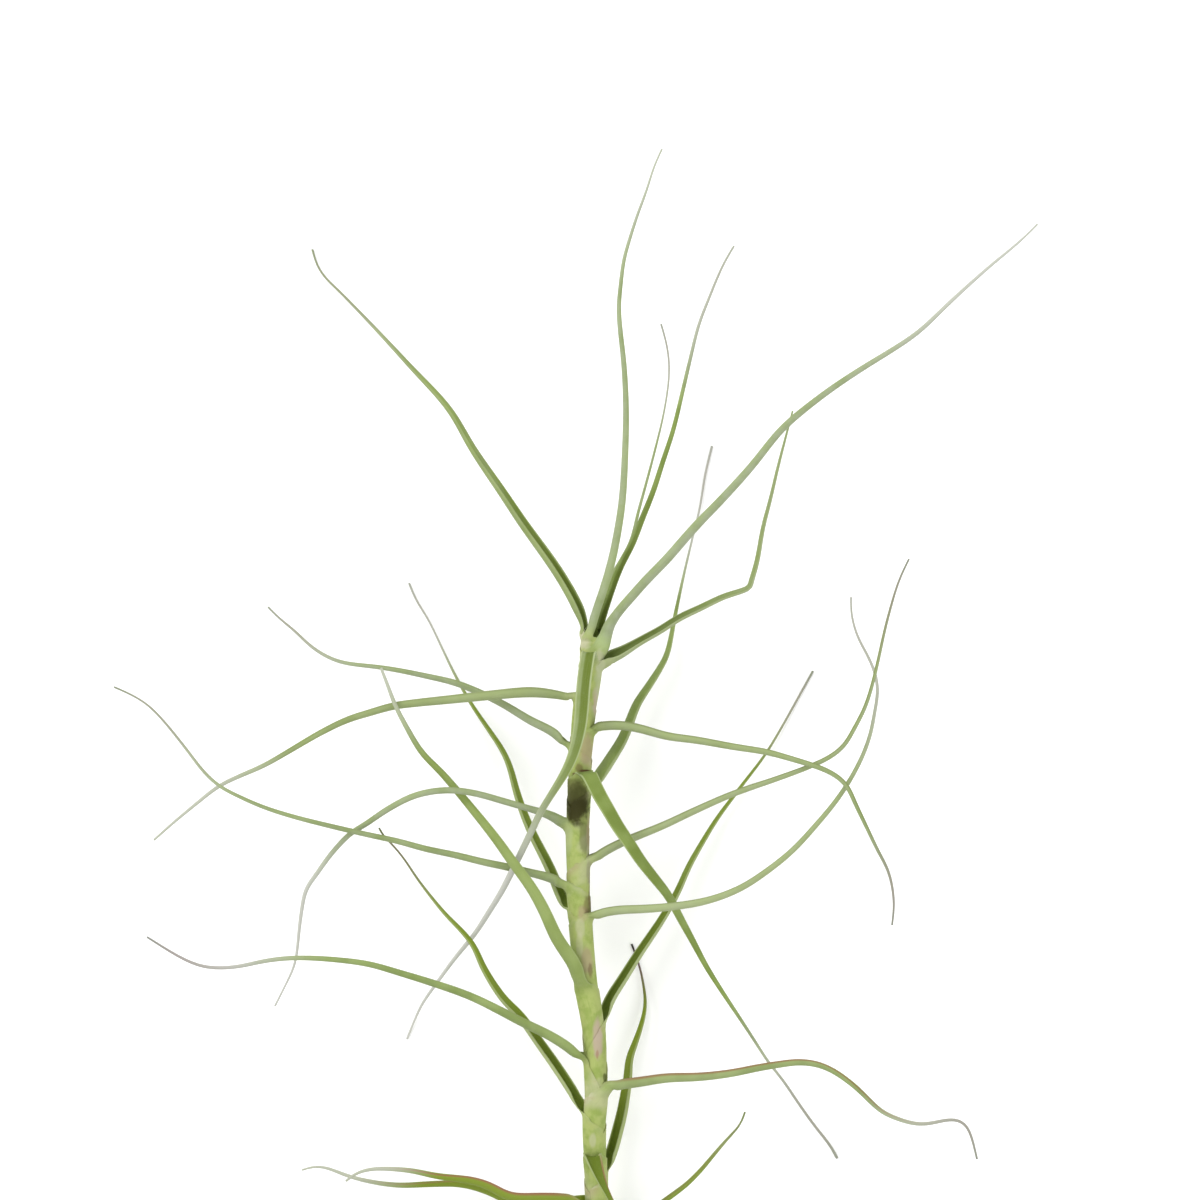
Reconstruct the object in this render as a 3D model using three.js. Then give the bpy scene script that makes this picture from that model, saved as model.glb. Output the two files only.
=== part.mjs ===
// A caulescent air plant lying on a surface, in millimetres.
// The stem runs along +Y, its cut end at low Y and its growing tip at high Y. +Z is up, away
// from the surface at z = 0. Each leaf is one solid: a sheath wrapped round the stem, then a
// channelled blade that narrows to a thread.
import * as THREE from "three";

// ---------- driving dimensions, mm ----------

const STEM_RADIUS = 3.65;          // over the outermost sheath
const SHEATH_THICKNESS = 0.42;
const LAYER_STEP = 0.8;            // each enclosed sheath is this much smaller in radius
const SHEATH_REACH = 1.45;         // a sheath is rooted this many leaves further down the stem
const LOWEST_SHARE = 0.3;          // where a cut sheath's middle ring sits, from cut to mouth
const CORE_GAP = 0.3;              // between the innermost sheath and the woody core
const CORE_TOP = 169;              // height where the core ends
const SHEATH_HALF_ANGLE = 172;     // degrees each side of the midrib that a sheath wraps
const BLADE_HALF_ANGLE = 95;       // degrees each side of the midrib in the open channel
const BLADE_THICKNESS = 0.42;      // of the channel's wall, as a share of the blade's width
const TIP_WIDTH = 0.5;             // across the end of a leaf
const MOUTH_OPENING = 1;           // length of midrib over which a sheath's margins open
const MOUTH_FLARE = 0.58;          // how much wider the opened sheath is on the full stem
const MOUTH_RISE = 2.35;           // the midrib hugs the stem for this much more height
const MOUTH_CLEAR = 0.55;          // and stands this far off there
const MOUTH_LENGTH = 8;            // over which a blade clear of the stem takes its own width
const LEAD_LENGTH = 4;             // straight run of the midrib's line below the mouth
const HOLLOW_UNTIL = 0.15;         // share of a blade's length where its channel starts to fill
const SOLID_FROM = 0.9;            // and where it has become a solid thread
const INNER_ARC = 0.97;            // the channel's face spans this share of the outer arc
const THREAD_ARC = 0.9;            // and this share, in size and span, in the thread
const THREAD_EXTRA = 0.02;         // keeps the thread's two margins apart

// Lengths of the cross-sections at a mouth, close together where the margins open.
const MOUTH_STATIONS = [0.25, 0.45, 0.65, 0.9, 1.2, 1.8, 3, 4.6, 7, 11];
const BLADE_STATIONS = 14;         // cross-sections from there to the tip
const STATION_POWER = 1.1;         // draws them a little closer near the mouth
const SHEATH_SEGMENTS = 10;        // flats round a sheath
const BLADE_SEGMENTS = 2;          // flats across a blade's outer face
const CURVE_STEPS = 600;           // points along a leaf's smooth line
const CORE_SEGMENTS = 12;
const CORE_RINGS = 16;

const STEM_TOP = 178;              // height where the last leaf has left the stem
const LOWEST_SHEATH = -36;         // height where the lowest sheath is cut off with the stem
const NEXT_ABOVE = 2;              // from the last leaf up to where the next would part
const NEXT_BELOW = [4, 14];        // from the cut down to where the next two would have parted

// The middle of the plant's outline at its lowest point, which becomes the origin.
const PLANT_MIDDLE = new THREE.Vector3(-4.2, 134.6, 0.15);

// The stem's centre line, from the cut end to the growing tip: x, y, z.
const STEM_LINE = [
  [2.4, -38, 2.6],
  [2.1, -18, 9.0],
  [1.9, 2, 15.2],
  [1.3, 20, 19.2],
  [1.8, 32, 21.6],
  [1.1, 50, 24.6],
  [-1.3, 66, 26.8],
  [-3.2, 88, 28.9],
  [-3.7, 106, 30.2],
  [-3.3, 122, 31.0],
  [-2.1, 143, 31.6],
  [-0.4, 155, 31.8],
  [1.0, 169, 32.0],
  [2.2, 182, 32.4],
];

// The sheathed stem keeps its full radius up to the top leaves, then closes to a point.
const STEM_TAPER = [
  [-60, STEM_RADIUS],
  [158, STEM_RADIUS],
  [162, 3.4],
  [165.6, 2.95],
  [168.4, 2.5],
  [171, 2.32],
  [173.6, 1.5],
  [200, 1.45],
];

// How a blade's width falls along its length, as shares of the length and of the base width.
const WIDTH_PROFILE = [
  [0, 1.0],
  [0.08, 0.96],
  [0.25, 0.76],
  [0.45, 0.58],
  [0.65, 0.42],
  [0.85, 0.26],
  [1, 0.12],
];

// ---------- the leaves, youngest first ----------
// leaves: the height on the stem (y) where the midrib parts from the stem's surface.
// around: the side it leaves from, in degrees round the stem from +X towards +Z.
// width: across the base of the blade. line: the blade's centre line out to the tip.

const LEAVES = [
  {
    name: "leaf_top_thin", leaves: 173.5, around: -125, width: 1.65,
    line: [
      [2.7, 180, 26.1], [6.0, 186.4, 25.2], [9.3, 192, 25], [12.3, 197.6, 24], [14.4, 206.1, 22.4],
      [16.8, 214.8, 21], [19.8, 226.2, 19.2], [22.2, 236.4, 18], [23.7, 246.9, 17],
      [23.6, 252.9, 16.6], [22.7, 258, 16.4], [21.3, 262.8, 16.2],
    ],
  },
  {
    name: "leaf_top_centre", leaves: 171.7, around: 115, width: 2.95,
    line: [
      [2.6, 180.6, 36.6], [4.2, 186.9, 37.8], [5.9, 193.8, 38.6], [7.7, 200, 39.4], [9.6, 209.1, 40.4],
      [10.5, 223.2, 41.6], [10.8, 237.6, 42.4], [10.2, 250.5, 42.6], [9, 261.6, 42.6],
      [8.6, 267.6, 42.4], [9.2, 274.5, 42.2], [10.2, 282.3, 42], [12, 288.6, 42],
      [14.1, 295.2, 42.2], [16.8, 302.4, 42.6], [19.5, 310.8, 43], [21.6, 315.3, 43.2],
    ],
  },
  {
    name: "leaf_top_right", leaves: 168.3, around: -27, width: 3.0,
    line: [
      [6.8, 180.6, 32.6], [9.8, 189.9, 33], [12.9, 196.8, 33.4], [15.6, 204.3, 33.6],
      [18.9, 212.4, 33.8], [21.9, 221.7, 34], [24.9, 230.7, 34], [27.6, 241.8, 34],
      [30, 252, 34], [32.7, 262.8, 33.6], [35.6, 270.3, 33.2], [38.4, 277.2, 32.8],
      [40.5, 281.7, 32.6], [43.2, 286.2, 32.4],
    ],
  },
  {
    name: "leaf_top_left", leaves: 165.1, around: 200, width: 3.4,
    line: [
      [-5.7, 180.6, 30.6], [-10.6, 189, 28.2], [-20.3, 203.4, 24.6], [-26.2, 212.2, 22],
      [-34.9, 224.9, 18.2], [-41.9, 237.5, 14.6], [-53.9, 250.1, 9.8], [-65.4, 262.7, 5.8],
      [-74.8, 272.2, 3.0], [-80.5, 277.9, 1.6], [-82.4, 281.7, 0.9], [-83.3, 285.2, 0.4],
    ],
  },
  {
    name: "leaf_long_right", leaves: 162.2, around: 25, width: 4.0,
    line: [
      [7.6, 175.8, 36.5], [13.9, 183, 40], [23.1, 192.9, 44.4], [31.2, 201.6, 48],
      [39.9, 210.6, 51.2], [48.3, 219.9, 54], [57, 230.7, 56.4], [62.1, 235.4, 57.4],
      [72.5, 243.4, 58.8], [82.8, 250.2, 59.8], [90, 254.6, 60.4], [98.3, 260.2, 61],
      [108.7, 270, 61.6], [119, 279.3, 62], [129.3, 287.9, 62.2], [134.3, 292.8, 62.2],
    ],
  },
  {
    name: "leaf_front_hanging", leaves: 158.5, around: 94, width: 3.8,
    line: [
      [-0.3, 162.3, 39.2], [-0.5, 162.9, 42], [-0.9, 159.6, 44.4], [-1.5, 153.9, 45.2],
      [-2.1, 149.4, 45.4], [-2.7, 144, 45.4], [-3.9, 137.4, 45], [-6, 131.1, 44.4],
      [-9, 125.7, 43.4], [-11.7, 121.5, 42.2], [-15, 116.1, 40], [-17.1, 111.6, 37.8],
      [-21.6, 102.3, 32.6], [-26.1, 93.3, 26.2], [-30.3, 86.4, 20], [-34.8, 79.5, 13.6],
      [-40.5, 72.6, 8.4], [-46.2, 64.8, 4.6], [-50.4, 58.8, 2.4], [-52.5, 54.3, 1.2],
      [-54.9, 48.3, 0.4],
    ],
  },
  {
    name: "leaf_kinked", leaves: 153.2, around: -12, width: 3.4,
    line: [
      [9.6, 164.1, 30.6], [15.6, 168, 30], [21, 171, 29.4], [26.7, 174.6, 28.8],
      [33.6, 177.9, 28], [39.9, 180.9, 27.2], [45.6, 182.8, 26.6], [47.8, 183.8, 26.4],
      [48.5, 186, 26.2], [50.1, 191.7, 26], [51.9, 201.6, 25.6], [54.2, 210.6, 25.4],
      [56.4, 219.9, 25.6], [58.8, 229.2, 26], [60.8, 236.7, 26.4],
    ],
  },
  {
    name: "leaf_left_long", leaves: 146.4, around: 172, width: 2.9,
    line: [
      [-9, 152, 33], [-17.7, 152.4, 34], [-29.1, 151.5, 34.6], [-40.5, 150.3, 34.6],
      [-52.2, 149.1, 34], [-59.1, 148.2, 33.4], [-66.3, 146.1, 32.8], [-72.3, 144.3, 32.2],
      [-81, 140.1, 31], [-89.7, 135, 29.4], [-98.1, 130.2, 28], [-104.4, 127.5, 27],
      [-111.3, 124.2, 26], [-118.2, 118.8, 25], [-125.1, 113.1, 24], [-130.8, 108, 23],
    ],
  },
  {
    name: "leaf_right_hooked", leaves: 137.8, around: 12, width: 2.7,
    line: [
      [4.9, 142.9, 34], [9.6, 142.5, 35.6], [15.6, 141.3, 37.2], [22.8, 139.2, 38.8],
      [31.8, 138, 40.4], [43.5, 135.9, 41.6], [53.1, 134.4, 42], [60.6, 132.3, 42],
      [67.5, 130.2, 41.6], [72, 128.4, 41], [76.8, 124.8, 39.6], [79.5, 119.1, 37.6],
      [83.1, 111.6, 34.6], [86.4, 104.7, 31.6], [89.4, 99, 29], [90.9, 92.7, 27],
      [91.2, 87.6, 25.4], [90.6, 82.5, 24],
    ],
  },
  {
    name: "leaf_left_rising", leaves: 131.8, around: 202, width: 2.7,
    line: [
      [-11, 140.4, 28.6], [-17.7, 143.7, 27.6], [-26.1, 148.8, 26], [-39.3, 154.8, 24.4],
      [-49.2, 157.2, 23.4], [-57.9, 159, 22.8], [-63.6, 159.9, 22.4], [-75, 161.4, 21.6],
      [-80.4, 163.8, 21], [-84.6, 166.8, 20.6], [-88.5, 170.7, 20.2], [-93, 174.3, 19.8],
      [-96.6, 177.9, 19.4],
    ],
  },
  {
    name: "leaf_front_right", leaves: 124.8, around: 72, width: 3.6,
    line: [
      [-0.3, 127.6, 39.4], [1.0, 126, 41.6], [3.0, 121.9, 43.4], [5.6, 116.8, 43.8],
      [8.6, 112, 43.4], [11.6, 108, 42.4], [15.6, 102, 39.8], [20.1, 96.3, 36.4],
      [24, 91.2, 33], [26.7, 85.8, 29.6], [30.9, 78, 25.6], [34.8, 70.2, 22],
      [39.9, 62.1, 18.6], [45.3, 54, 15.4], [49.8, 47.1, 12.8], [53.7, 41.1, 10.8],
      [57.6, 36.3, 9], [62.7, 28.8, 6.2], [67.2, 22.5, 3.8], [72.6, 15.6, 1.3],
      [74.1, 12.6, 0.4],
    ],
  },
  {
    name: "leaf_back_right", leaves: 119, around: -52, width: 3.2,
    line: [
      [4.2, 129.3, 24.6], [6.3, 132.6, 22.6], [9.6, 138.6, 19.6], [12.3, 145.5, 17],
      [14.1, 149.1, 15.4], [16.8, 153, 13.6], [20.1, 158.1, 11.4], [23, 163.2, 9.4],
      [24.2, 168.3, 7.8], [25.5, 175.2, 5.8], [28.2, 187.8, 3.2], [30.6, 198, 1.8],
      [33, 207.9, 1.0], [34.5, 217.5, 0.6], [36.6, 226.2, 0.4],
    ],
  },
  {
    name: "leaf_left_arched", leaves: 109.6, around: 192, width: 3.0,
    line: [
      [-12, 116.1, 32], [-18.9, 117.6, 34.4], [-26.1, 119.7, 37], [-34.8, 122.1, 39.6],
      [-42.9, 123, 41], [-52.2, 121.5, 39.6], [-60.6, 117.3, 36], [-68.1, 112.2, 31.4],
      [-71.4, 110.4, 29.4], [-77.7, 103.8, 25.4], [-82.2, 97.5, 22.4], [-85.2, 93.3, 20.4],
      [-86.4, 87.6, 18], [-87.3, 80.7, 15.4], [-87.9, 74.4, 13], [-88.8, 69.9, 11.4],
      [-91.2, 64.8, 9.8], [-94.5, 58.2, 8],
    ],
  },
  {
    name: "leaf_right_swept", leaves: 99.6, around: -4, width: 2.6,
    line: [
      [5.1, 105.2, 30.6], [9, 107, 31], [14.1, 109.2, 31.8], [21.6, 112.2, 32.8],
      [31.8, 117, 34.2], [43.5, 122.1, 35.4], [54.9, 126, 36.2], [66.3, 130.2, 36.8],
      [72, 132.9, 37], [76.2, 136.2, 37.2], [79.5, 141.9, 37.4], [82.2, 147, 37.6],
      [84, 152.1, 37.8], [85.5, 157.8, 38], [87, 164.4, 38], [88.5, 171.3, 38],
      [90.9, 180.3, 37.8], [92.4, 185.1, 37.6], [94.2, 189.3, 37.4], [95.7, 192.3, 37.2],
    ],
  },
  {
    name: "leaf_left_low", leaves: 90.2, around: 178, width: 2.7,
    line: [
      [-10.6, 96.2, 28.8], [-17.7, 98.1, 28.4], [-23.4, 99.6, 28.2], [-32.1, 101.4, 28.8],
      [-40.5, 103.5, 29.8], [-49.2, 105.3, 31], [-57.9, 107.7, 32.2], [-66.3, 109.5, 33.4],
      [-78, 112.2, 34.8], [-89.7, 115.2, 35.6], [-98.1, 117.9, 36], [-105.6, 121.2, 36],
      [-111.3, 124.2, 36], [-116.1, 128.7, 35.8], [-120, 133.8, 35.4], [-124.2, 139.2, 35],
      [-128.7, 144.6, 34.4], [-132.6, 148.5, 34], [-137.4, 151.5, 33.4], [-142.8, 153.9, 33],
    ],
  },
  {
    name: "leaf_back_left", leaves: 83.6, around: 238, width: 3.0,
    line: [
      [-8.4, 90.6, 23.6], [-10.4, 95.7, 21.6], [-12.9, 101.4, 19.2], [-16.5, 108.3, 16.4],
      [-19.8, 115.8, 13.6], [-22.2, 123, 11.4], [-24, 129.9, 9.6], [-26.1, 134.7, 8.2],
      [-30.3, 141, 6.4], [-35.4, 148.5, 4.6], [-40.5, 157.5, 3.0], [-44.7, 166.2, 2.0],
      [-48.6, 174.3, 1.3], [-52.2, 180, 0.8], [-54.3, 185.1, 0.4],
    ],
  },
  {
    name: "leaf_right_looped", leaves: 78, around: 24, width: 2.8,
    line: [
      [4.9, 86.2, 33.2], [9.6, 87, 35], [15.6, 87.3, 36.8], [23.4, 87.9, 38.2],
      [34.8, 89.7, 38.8], [44.7, 93.3, 38.4], [51.9, 97.8, 37.4], [60.6, 104.7, 36],
      [68.1, 112.8, 34.8], [73.8, 119.7, 33.8], [78, 126, 33], [81.9, 133.5, 32.4],
      [84.3, 140.4, 32.2], [85.5, 147, 32], [86.3, 151.5, 32], [86.1, 156, 32],
      [85.2, 159, 32], [83.4, 163.2, 32], [80.7, 168, 32], [79.1, 172.5, 32],
      [78.3, 176.7, 32], [78.3, 180.9, 32],
    ],
  },
  {
    name: "leaf_front_left", leaves: 60.4, around: 138, width: 3.6,
    line: [
      [-7.2, 71.4, 33.6], [-10.2, 78.3, 35.4], [-13.5, 86.4, 36.4], [-17.7, 93.9, 36.8],
      [-22.8, 100.8, 36.6], [-27.9, 108, 36], [-33.6, 115.2, 35.4], [-39.3, 122.1, 35.2],
      [-44.7, 128.4, 35.4], [-50.4, 134.1, 36], [-54.9, 141.6, 36.8], [-58.5, 148.5, 37.4],
      [-60.6, 154.2, 37.8], [-62.7, 159.6, 38],
    ],
  },
  {
    name: "leaf_back_right_low", leaves: 48.4, around: -48, width: 3.4,
    line: [
      [5.6, 59.6, 19.6], [9.6, 66, 17.2], [14.1, 73.2, 14.8], [18, 78.9, 13],
      [21.6, 84.3, 11.4], [26.1, 92.1, 9.4], [29.7, 100.2, 7.6], [33.6, 107.1, 6.2],
      [37.8, 114, 4.9], [42.9, 120.9, 3.7], [46.8, 126, 2.9], [52.5, 133.5, 2.0],
      [57.9, 142.5, 1.2], [62.4, 150.6, 0.7], [66.9, 158.7, 0.4],
    ],
  },
  {
    name: "leaf_left_spread", leaves: 38.6, around: 158, width: 3.0,
    line: [
      [-7, 46.2, 26.2], [-12.9, 49.8, 27], [-20.4, 53.4, 27.4], [-27.9, 57.3, 27.2],
      [-36, 61.2, 26.8], [-46.2, 64.8, 26.2], [-57.9, 68.4, 25.6], [-66.3, 70.8, 25],
      [-75.3, 72, 24.4], [-84, 72.6, 24], [-89.7, 72.6, 23.6], [-93.6, 72.3, 23.2],
      [-99.3, 71.4, 22.4], [-104.4, 70.2, 21.6], [-110.4, 69.6, 20.6], [-115.5, 69.9, 19.8],
      [-119.4, 71.1, 19], [-124.2, 73.5, 18.2], [-132.9, 78.9, 17],
    ],
  },
  {
    name: "leaf_right_wavy", leaves: 29.6, around: 14, width: 2.8,
    line: [
      [7.8, 34.9, 22.8], [14.4, 35.4, 23.6], [22.8, 36.6, 24.4], [32.7, 36.9, 25],
      [42.9, 38.1, 25.2], [50.1, 39.6, 25.2], [57.6, 40.8, 25], [62.1, 41.4, 24.6],
      [68.1, 40.8, 24], [72.6, 39, 23], [77.1, 36, 22], [80.7, 33, 21],
      [84, 29.7, 20], [87.6, 26.4, 19], [92.4, 24.3, 18], [97.5, 22.8, 17],
      [101.4, 22.8, 16.4], [105.3, 23.7, 15.8], [109.2, 24.3, 15.2], [112.2, 23.4, 14.6],
      [114, 20.4, 13.8], [114.9, 17.4, 13], [116.1, 12.3, 11.6],
    ],
  },
  {
    name: "leaf_back_left_low", leaves: 20.6, around: 222, width: 3.3,
    line: [
      [-5.6, 33.2, 17.4], [-10.8, 41.1, 16.8], [-15.3, 47.4, 16.8], [-21.6, 56.1, 17],
      [-25.2, 59.4, 17.2], [-29.1, 64.8, 17.6], [-32.4, 70.5, 18], [-34.8, 76.2, 18.4],
      [-38.4, 80.7, 18.6], [-42.9, 85.2, 18.6], [-47.4, 90.6, 18.4], [-52.2, 96.9, 18.2],
      [-55.5, 102, 18], [-60, 107.4, 17.6], [-62.4, 109.4, 17.2], [-63.3, 111.6, 17],
    ],
  },
  {
    name: "leaf_front_low", leaves: 11.4, around: 84, width: 4.2,
    line: [
      [1.2, 12.4, 25], [2.4, 10, 27.6], [3.6, 5, 28.8], [6, -2, 28.6],
      [9, -9.6, 27], [13, -18, 23.6], [17.4, -26, 18], [21.6, -33, 11.4],
      [25, -38.6, 5.6], [27.6, -43, 1.8], [29.4, -46, 0.4],
    ],
  },
  {
    name: "leaf_back_short", leaves: 4.6, around: -58, width: 3.0,
    line: [
      [6.4, 15.9, 12.6], [8.4, 20.7, 11.6], [10.2, 26.4, 10.2], [11.1, 31.8, 9],
      [11.4, 36.6, 7.8], [11.7, 42.3, 6.6], [13.2, 46.2, 5.6], [15, 51.3, 4.5],
      [16.2, 55.5, 3.6], [16.7, 59.1, 2.9], [16.2, 63.6, 2.1], [15, 69.6, 1.2],
      [13.4, 74.4, 0.6], [12.5, 76.8, 0.4],
    ],
  },
  {
    name: "leaf_bottom_left_upper", leaves: -4.6, around: 170, width: 2.8,
    line: [
      [-7, 0.2, 16.6], [-15, 0.6, 17.4], [-24, 0.9, 17.8], [-30.6, 4.4, 17.6],
      [-36.3, 6, 17.2], [-46.2, 7.2, 16.4], [-52.8, 8.7, 15.6], [-59.1, 9.3, 14.6],
      [-65.7, 9.3, 13.4], [-70.8, 7.8, 12.4], [-73.2, 5.7, 11.8],
    ],
  },
  {
    name: "leaf_bottom_right", leaves: -18.6, around: -10, width: 2.8,
    line: [
      [10.5, -9.6, 10.4], [16.5, -4.8, 10.2], [23.1, 0.3, 10], [28.8, 4.5, 9.8],
      [33.3, 9, 9.4], [37.8, 14.4, 9], [41.7, 18.9, 8.6], [45.3, 22.8, 8.2],
      [46.5, 26.4, 8],
    ],
  },
  {
    name: "leaf_bottom_left_lower", leaves: -26.4, around: 186, width: 2.6,
    line: [
      [-6, -17.1, 8.4], [-13.5, -11.4, 8.6], [-21, -5.1, 8.8], [-27.3, -0.3, 8.8],
      [-37.8, 3.9, 8.6], [-47.4, 4.2, 8], [-57.3, 4.2, 7.2], [-66.9, 5.7, 6.2],
      [-73.5, 7.5, 5.4], [-78.6, 9.6, 4.8], [-82.5, 10.2, 4.4], [-86.4, 9, 4],
    ],
  },
];

// ---------- finish ----------

const leafMaterial = new THREE.MeshStandardMaterial({ color: 0x93a86a, roughness: 0.7, metalness: 0 });
const stemMaterial = new THREE.MeshStandardMaterial({ color: 0xb9a67c, roughness: 0.85, metalness: 0 });

// ---------- small helpers ----------

const toVector = ([x, y, z]) => new THREE.Vector3(x, y, z);
const radians = THREE.MathUtils.degToRad;
const { clamp, lerp: mix, smoothstep } = THREE.MathUtils;

// Reads a table of [position, value] rows, in order of position, as straight lines between them.
function valueAt(table, position) {
  const next = table.findIndex((row) => row[0] >= position);
  if (next === 0) return table[0][1];
  if (next < 0) return table[table.length - 1][1];
  const [x0, y0] = table[next - 1];
  const [x1, y1] = table[next];
  return mix(y0, y1, (position - x0) / (x1 - x0));
}

// ---------- the stem's line ----------

const stemCurve = new THREE.CatmullRomCurve3(STEM_LINE.map(toVector), false, "centripetal");

// The stem's centre and its own directions at height y: along, side (to +X) and front (to +Z).
function stemAt(y) {
  let low = 0;
  let high = 1;
  while (high - low > 1e-6) {
    const middle = (low + high) / 2;
    if (stemCurve.getPoint(middle).y < y) low = middle;
    else high = middle;
  }
  const along = stemCurve.getTangent(low).normalize();
  const side = new THREE.Vector3().crossVectors(along, new THREE.Vector3(0, 0, 1)).normalize();
  const front = new THREE.Vector3().crossVectors(side, along);
  return { centre: stemCurve.getPoint(low), along, side, front };
}

const outward = (place, angle) =>
  place.side.clone().multiplyScalar(Math.cos(angle)).addScaledVector(place.front, Math.sin(angle));

// Which leaf a height belongs to: whole numbers are the heights where the leaves part from
// the stem, counted from the top, and heights between two leaves are shares between them.
const HEIGHT_OF_COUNT = [
  [-1, LEAVES[0].leaves + NEXT_ABOVE],
  ...LEAVES.map((leaf, index) => [index, leaf.leaves]),
  ...NEXT_BELOW.map((drop, index) => [LEAVES.length + index, LOWEST_SHEATH - drop]),
];
const COUNT_OF_HEIGHT = HEIGHT_OF_COUNT.map(([count, height]) => [height, count]).reverse();
const countAt = (y) => valueAt(COUNT_OF_HEIGHT, y);
const heightOf = (count) => valueAt(HEIGHT_OF_COUNT, count);

// A sheath widens towards its mouth, so that it can hold the foot of the leaf inside it.
const sheathRadius = (index, y) => valueAt(STEM_TAPER, y) - LAYER_STEP * (countAt(y) - index);

// ---------- cross-sections ----------

// One cross-section: an outer arc centred on the midrib, and an inner face that is the same
// arc moved in (a wall) or, as full goes to 1, the arc's mirror image (a solid thread).
function crossSection({ middle, inward, across, radius, halfAngle, wall, full, segments }) {
  const outer = [];
  const inner = [];
  const centre = middle.clone().addScaledVector(inward, radius);
  const place = (angle, distance) =>
    centre.clone()
      .addScaledVector(inward, -Math.cos(angle) * distance)
      .addScaledVector(across, Math.sin(angle) * distance);
  for (let step = 0; step <= segments; step += 1) {
    const angle = mix(-halfAngle, halfAngle, step / segments);
    outer.push(place(angle, radius));
    const wallPoint = place(angle * INNER_ARC, radius - wall);
    const mirrored = place(Math.PI - angle * THREAD_ARC, radius * THREAD_ARC);
    inner.push(wallPoint.lerp(mirrored.addScaledVector(inward, THREAD_EXTRA), full));
  }
  return { outer, inner };
}

// ---------- building a closed solid from cross-sections ----------

function loft(sections) {
  const positions = [];
  const triangle = (a, b, c) => positions.push(...a.toArray(), ...b.toArray(), ...c.toArray());
  // Zips two rows of points of any lengths together with triangles.
  const strip = (rowA, rowB) => {
    let a = 0;
    let b = 0;
    while (a < rowA.length - 1 || b < rowB.length - 1) {
      const nextA = (a + 1) / (rowA.length - 1);
      const nextB = (b + 1) / (rowB.length - 1);
      if (b === rowB.length - 1 || (a < rowA.length - 1 && nextA <= nextB)) {
        triangle(rowA[a], rowA[a + 1], rowB[b]);
        a += 1;
      } else {
        triangle(rowA[a], rowB[b + 1], rowB[b]);
        b += 1;
      }
    }
  };
  for (let index = 0; index < sections.length - 1; index += 1) {
    const near = sections[index];
    const far = sections[index + 1];
    const edge = (section, end) => [section.outer.at(end), section.inner.at(end)];
    strip(near.outer, far.outer);
    strip(far.inner, near.inner);
    strip(edge(far, 0), edge(near, 0));
    strip(edge(near, -1), edge(far, -1));
  }
  strip(sections[0].inner, sections[0].outer);
  strip(sections.at(-1).outer, sections.at(-1).inner);
  const geometry = new THREE.BufferGeometry();
  geometry.setAttribute("position", new THREE.Float32BufferAttribute(positions, 3));
  geometry.computeVertexNormals();
  return geometry;
}

// ---------- a leaf ----------

// Cross-sections of the sheath, square to the stem, from its root up to where the blade parts.
function sheathSections(leaf, index) {
  const root = Math.max(heightOf(index + SHEATH_REACH), LOWEST_SHEATH);
  const halfAngle = radians(SHEATH_HALF_ANGLE);
  const step = Math.max(heightOf(index + 1), mix(root, leaf.leaves, LOWEST_SHARE));
  const heights = [root, step, leaf.leaves];
  return heights.map((y) => {
    const place = stemAt(y);
    const out = outward(place, radians(leaf.around));
    const radius = sheathRadius(index, y);
    return crossSection({
      middle: place.centre.clone().addScaledVector(out, radius),
      inward: out.clone().negate(),
      across: new THREE.Vector3().crossVectors(out.clone().negate(), place.along),
      radius,
      halfAngle,
      wall: SHEATH_THICKNESS,
      full: 0,
      segments: SHEATH_SEGMENTS,
    });
  });
}

// Points along the midrib from where it parts from the stem out to the tip, each with its
// direction, its distance along the leaf and the direction of the blade's inner side, which is
// carried along the curve without twisting it.
function midrib(leaf, index) {
  const foot = stemAt(leaf.leaves);
  const out = outward(foot, radians(leaf.around));
  const onSheath = (rise, clear) => {
    const place = stemAt(leaf.leaves + rise);
    const distance = sheathRadius(index, leaf.leaves + rise) + clear;
    return place.centre.clone().addScaledVector(outward(place, radians(leaf.around)), distance);
  };
  const start = onSheath(0, 0);
  const below = start.clone().addScaledVector(foot.along, -LEAD_LENGTH);
  const line = [below, start, onSheath(MOUTH_RISE, MOUTH_CLEAR), ...leaf.line.map(toVector)];
  const curve = new THREE.CatmullRomCurve3(line, false, "centripetal");
  const points = curve.getPoints(CURVE_STEPS).slice(Math.round(CURVE_STEPS / (line.length - 1)));
  let inward = out.clone().negate();
  let distance = 0;
  return points.map((point, step) => {
    const before = points[Math.max(step - 1, 0)];
    const after = points[Math.min(step + 1, points.length - 1)];
    const along = after.clone().sub(before).normalize();
    inward = inward.clone().addScaledVector(along, -inward.dot(along)).normalize();
    distance += point.distanceTo(before);
    return { point, along, inward, distance };
  });
}

// How far a midrib point has come clear of the stem: 0 on the sheath, 1 at a blade's own place.
function clearance(leaf, index, { point, distance }) {
  const byLength = (distance - MOUTH_LENGTH / 2) / MOUTH_LENGTH;
  if (point.y > STEM_TOP) return clamp(byLength, 0, 1);
  const layers = clamp(index - countAt(point.y), 0, 1);
  const surface = valueAt(STEM_TAPER, point.y) + LAYER_STEP * layers;
  const byOffset = (point.distanceTo(stemAt(point.y).centre) - surface) / leaf.width;
  return clamp(Math.max(byOffset, byLength), 0, 1);
}

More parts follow.
